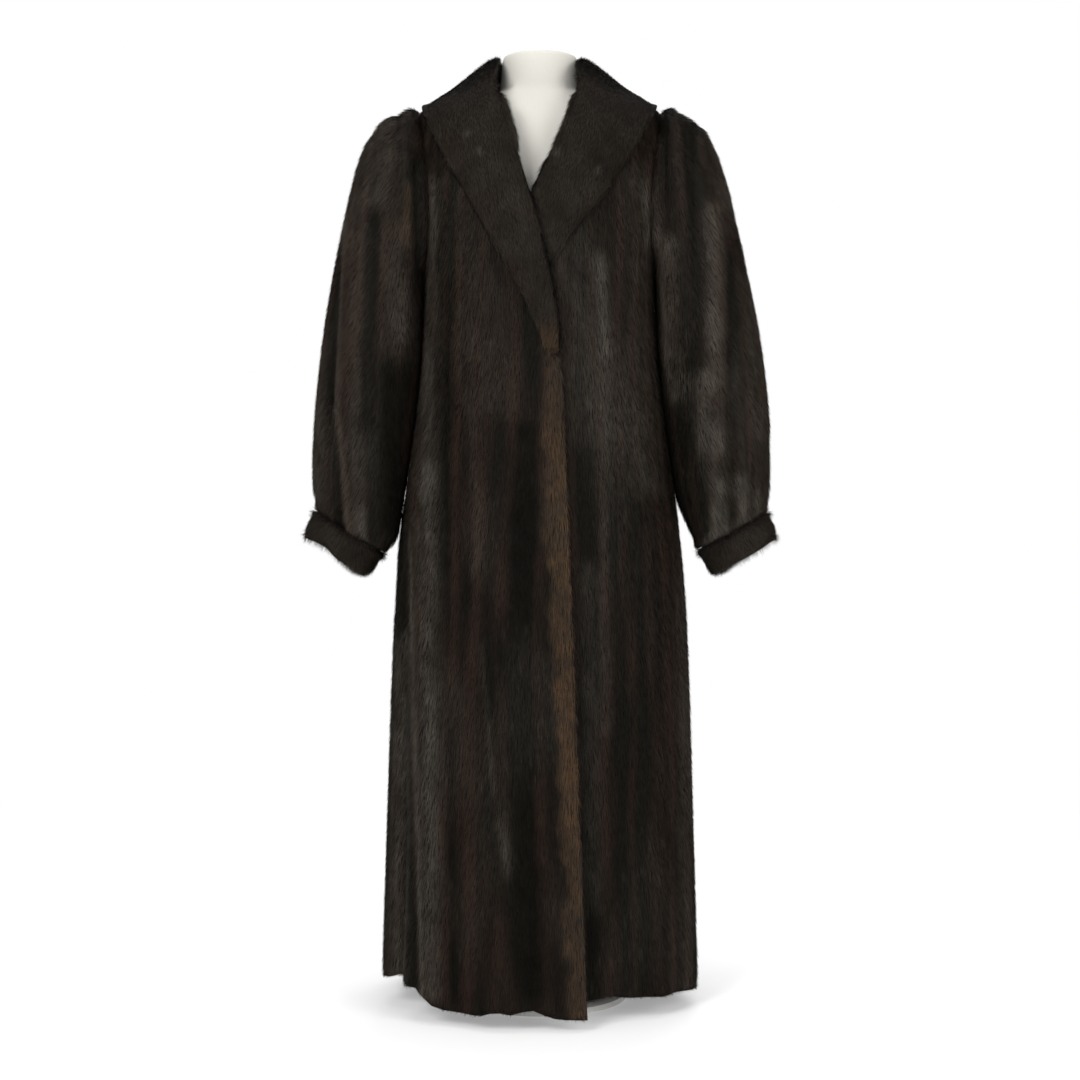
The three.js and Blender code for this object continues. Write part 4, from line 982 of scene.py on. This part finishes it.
def furnish(pelt, spec, depth):
    # lowers the outer leather by the fur's depth and notes which way the fur lies
    mesh, kind = pelt.data, spec["kind"]
    points = meshArray(mesh.vertices, "co", 3)
    normals = meshArray(mesh.vertex_normals, "vector", 3)
    others = [node for node in coatNodes if node != spec["node"]]
    reach = 1 - (1 - hem["reach"]) * nearEdge(points, normals, *hem["gap"])
    if kind == "collar":
        away = normals
        cover = openAir(points, normals, collarAir, ["collar", "front_right", "front_left", "back"])
        cover = agreed(points, normals, cover)
        outside = cover * 2 - 1
        side = np.sign(points[:, 0])
        inwards, upwards, height = -side * normals[:, 0], normals[:, 2], points[:, 2]
        leaning = smoothStep(inwards, *vEdge["inwards"]) * fallStep(height, *vEdge["high"]) * smoothStep(
            height, *vEdge["low"]) * (points[:, 1] < 0)
        flat = smoothStep(np.abs(points[:, 0]), *shoulder["out"]) * smoothStep(
            upwards, *shoulder["upwards"]) * (points[:, 1] > shoulder["behind"])
        lean = np.where(points[:, 0] < 0, vEdge["right"], vEdge["left"])
        depth = depth * (1 - lean * leaning + shoulder["deeper"] * flat)
        reach = 1 + vEdge["longer"] * leaning + tip["longer"] * fallStep(height, *tip["height"])
        high = smoothStep(height, *neckEdge["height"])
        depth = depth * (1 - neckEdge["lower"] * high * smoothStep(upwards, *neckEdge["upwards"]))
        reach *= 1 - (1 - shoulder["reach"]) * flat
        reach *= 1 - (1 - neckEdge["reach"]) * high * smoothStep(inwards, *neckEdge["inwards"])
    else:
        hand = "right" if spec["node"].endswith("right") else "left"
        away = awayFrom(points, spec)
        outside = (away * normals).sum(1)
        cover = smoothStep(outside, *coverEdge)
        cover *= openAir(points, normals, layerAir, others)
        beside = nearSolids(points, others, *crevice["gap"])
        depth = depth * (1 - crevice["share"] * beside * (spec["depth"] != "cuff"))
        if spec["depth"] == "cuff":
            aside = np.sign(points[:, 0]) * normals[:, 0]
            inner = smoothStep(-aside, *cuffShape["inwards"])
            ends = smoothStep(aside, *cuffShape["outwards"]) + inner * (1 - cuffShape["innerLess"] * beside)
            atTip = bump(seenAt(points)[0] - cuffShape["tip"][hand], cuffShape["tipWide"])
            downward = smoothStep(-normals[:, 2], *cuffShape["downwards"])
            reach = 1 - (1 - cuffShape["reach"]) * np.clip(ends, 0, 1)
            depth = depth * (1 + cuffShape["ends"] * ends + downward * (
                cuffShape["beside"] * (1 - atTip) - cuffShape["under"] * atTip))
        elif kind == "tube":
            onTop = smoothStep(normals[:, 2], *sleeveHead["upwards"])
            depth = depth * (1 - sleeveHead["raised"][hand] * onTop * smoothStep(
                points[:, 2], *sleeveHead["height"]) * fallStep(np.abs(points[:, 0]), *sleeveHead["out"]))
    # a free edge draws in on every side, and a seam only from its face
    starts = meshArray(mesh.polygons, "loop_start", 1, np.int32)
    totals = meshArray(mesh.polygons, "loop_total", 1, np.int32)
    ends = meshArray(mesh.loops, "vertex_index", 1, np.int32)
    faceOf = np.repeat(np.arange(len(starts)), totals)
    faceNormals = meshArray(mesh.polygons, "normal", 3)
    faceAreas = meshArray(mesh.polygons, "area", 1)
    facing = (faceNormals[faceOf] * away[ends]).sum(1) > seamFacing
    outward = np.zeros_like(points)
    np.add.at(outward, ends[facing], (faceNormals * faceAreas[:, None])[faceOf[facing]])
    seam = nearSolids(points, others, *seamReach)[:, None]
    lowering = normals * (1 - seam) + unit(outward) * seam
    lowered = points - lowering * (depth * cover)[:, None]
    across, down = seenAt(points)
    for wave in hemWaves:
        if wave["node"] == spec["node"]:
            lowered[:, 2] += wave["up"] * mm * bump(across - wave["x"], wave["wide"]) * smoothStep(
                down, *hemRise)
    mesh.vertices.foreach_set("co", lowered.ravel())
    mesh.update()
    out, back = naps[kind]
    flow = np.column_stack([np.sign(points[:, 0]) * out, np.full(len(points), back), -np.ones(len(points))])
    inward = smoothStep(-outside, -innerTurn, innerTurn)[:, None]   # it folds as the outer one over it
    folded = lowered + away * wallThickness * inward
    for label, data, width in (("nap", unit(flow), "vector"), ("cover", cover, "value"),
                               ("reach", reach, "value"), ("deep", creaseDepth(folded, spec), "value")):
        attribute = mesh.attributes.new(label, "FLOAT_VECTOR" if width == "vector" else "FLOAT", "POINT")
        attribute.data.foreach_set(width, np.asarray(data, np.float32).ravel())
    sums = np.zeros(len(starts))
    np.add.at(sums, faceOf, outside[ends])
    mesh.polygons.foreach_set("material_index", (sums / totals < liningFrom[kind]).astype(np.int32))
    return lowered


def creasePelt(pelt, points, spec):
    # the leather takes the creases that the fur has
    if spec["kind"] == "collar" or spec["depth"] == "cuff":
        return
    deep = meshArray(pelt.data.attributes["deep"].data, "value", 1)
    away = awayFrom(points, spec)
    facing = (meshArray(pelt.data.vertex_normals, "vector", 3) * away).sum(1)
    outside = smoothStep(facing, *peltUnder["turn"])
    under = deep * mm + peltUnder["by"] * smoothStep(np.abs(deep), *peltUnder["deep"]) * outside
    pelt.data.vertices.foreach_set("co", (points - away * under[:, None]).ravel())
    pelt.data.update()


# what the panels of a sort share: flat is the width and length each is cut from, area the piece itself, in
# square metres, and density its hairs to the square metre
sorts = {
    "front": {"kind": "body", "slot": "fur", "depth": "coat", "density": 500e3},
    "back": {"kind": "body", "slot": "fur", "depth": "coat", "density": 270e3},
    "sleeve": {"kind": "tube", "slot": "fur", "depth": "coat", "density": 520e3, "flat": (0.50, 0.62),
               "area": 0.24},
    "cuff": {"kind": "tube", "slot": "collar_fur", "depth": "cuff", "density": 700e3,
             "flat": (0.31, 0.055), "area": 0.014},
    "collar": {"kind": "collar", "slot": "collar_fur", "depth": "collar", "density": 640e3,
               "flat": (0.17, 1.10), "area": 0.14},
}
panels = [
    {"node": "front_right", "sort": "front", "seed": 11, "flat": (0.40, 1.22), "area": 0.375},
    {"node": "front_left", "sort": "front", "seed": 12, "flat": (0.38, 1.22), "area": 0.355},
    {"node": "back", "sort": "back", "seed": 13, "flat": (0.80, 1.24), "area": 0.70},
    {"node": "sleeve_right", "sort": "sleeve", "seed": 14},
    {"node": "sleeve_left", "sort": "sleeve", "seed": 15},
    {"node": "cuff_right", "sort": "cuff", "seed": 16},
    {"node": "cuff_left", "sort": "cuff", "seed": 17},
    {"node": "collar", "sort": "collar", "seed": 18},
]
hairLength = {"coat": 12 * mm, "collar": 10 * mm, "cuff": 10.5 * mm}
hairLift = {"coat": math.radians(17), "collar": math.radians(19), "cuff": math.radians(30)}
blades = {"Spread": 0.08, "Roll": math.radians(60)}
bladeCover = 0.46   # a blade's width for each root spacing


def toneFor(spec):
    if spec["kind"] == "body":
        return coatTone(spec["seed"], withBorder=spec["node"] == "front_right")
    if spec["kind"] == "collar" or spec["depth"] == "cuff":
        return collarTone(spec["seed"])
    return sleeveTone(spec["seed"])


def buildCoat():
    finishes = {"fur": furFinish("coatFur", mink["plum"]),
                "collar_fur": furFinish("collarFur", mink["taupe"])}
    leather, lining = leatherFinish(), liningFinish()
    share = 1
    for panel in panels:
        spec = {**sorts[panel["sort"]], **panel}
        name = "".join(word.capitalize() for word in spec["node"].split("_"))
        puffy = spec["depth"] == "cuff"
        pelt = refined(spec["node"], "pelt" + name, 2 if puffy else 1, rim=0.0 if puffy else 1.0)
        points = furnish(pelt, spec, furDepth[spec["depth"]])
        density = spec["density"] * share
        settings = {**blades, "Length": hairLength[spec["depth"]], "Lift": hairLift[spec["depth"]],
                    "Width": bladeCover / density ** 0.5, "Density": density, "Seed": spec["seed"]}
        fur = grow(pelt, "fur" + name, settings, finishes[spec["slot"]], spec)
        creasePelt(pelt, points, spec)
        clearNotes(pelt.data)
        pelt.data.materials.append(leather)
        pelt.data.materials.append(lining)
        for piece in (pelt, fur):
            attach(piece, "root")
        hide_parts(spec["node"])


# The dress form

def jerseyFinish():
    return newMottled("creamJersey", roughness=0.85, scale=(900, 900, 900), low=(0.49, 0.475, 0.43, 1),
                      high=(0.53, 0.515, 0.47, 1), raised=0.25)


def paintFinish():
    return newMottled("whitePaint", roughness=0.4, scale=(300, 300, 300), low=(0.74, 0.73, 0.70, 1),
                      high=(0.78, 0.77, 0.74, 1), raised=0.1)


formSharp = math.radians(35)   # edges above this angle stay sharp


def buildForm():
    jersey, paint = jerseyFinish(), paintFinish()
    for node, name, levels, material, slot in (
            ("form_body", "formTorso", 2, jersey, "jersey"),
            ("form_pole", "formPole", 0, paint, "painted_steel"),
            ("form_base", "formFoot", 0, paint, "painted_steel")):
        piece = refined(node, name, levels)
        piece.data.set_sharp_from_angle(angle=formSharp)
        piece.data.materials.append(material)
        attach(piece, "root")
        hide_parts(node)


addCamera()
addSurroundings()
for lamp in studio["lamps"]:
    addLamp(lamp)
addFloor()
print("stage ready")
buildForm()
print("dress form ready")
buildCoat()
bpy.data.objects.remove(hairBlade)
print("coat ready")

bpy.context.scene.view_settings.view_transform = "Standard"
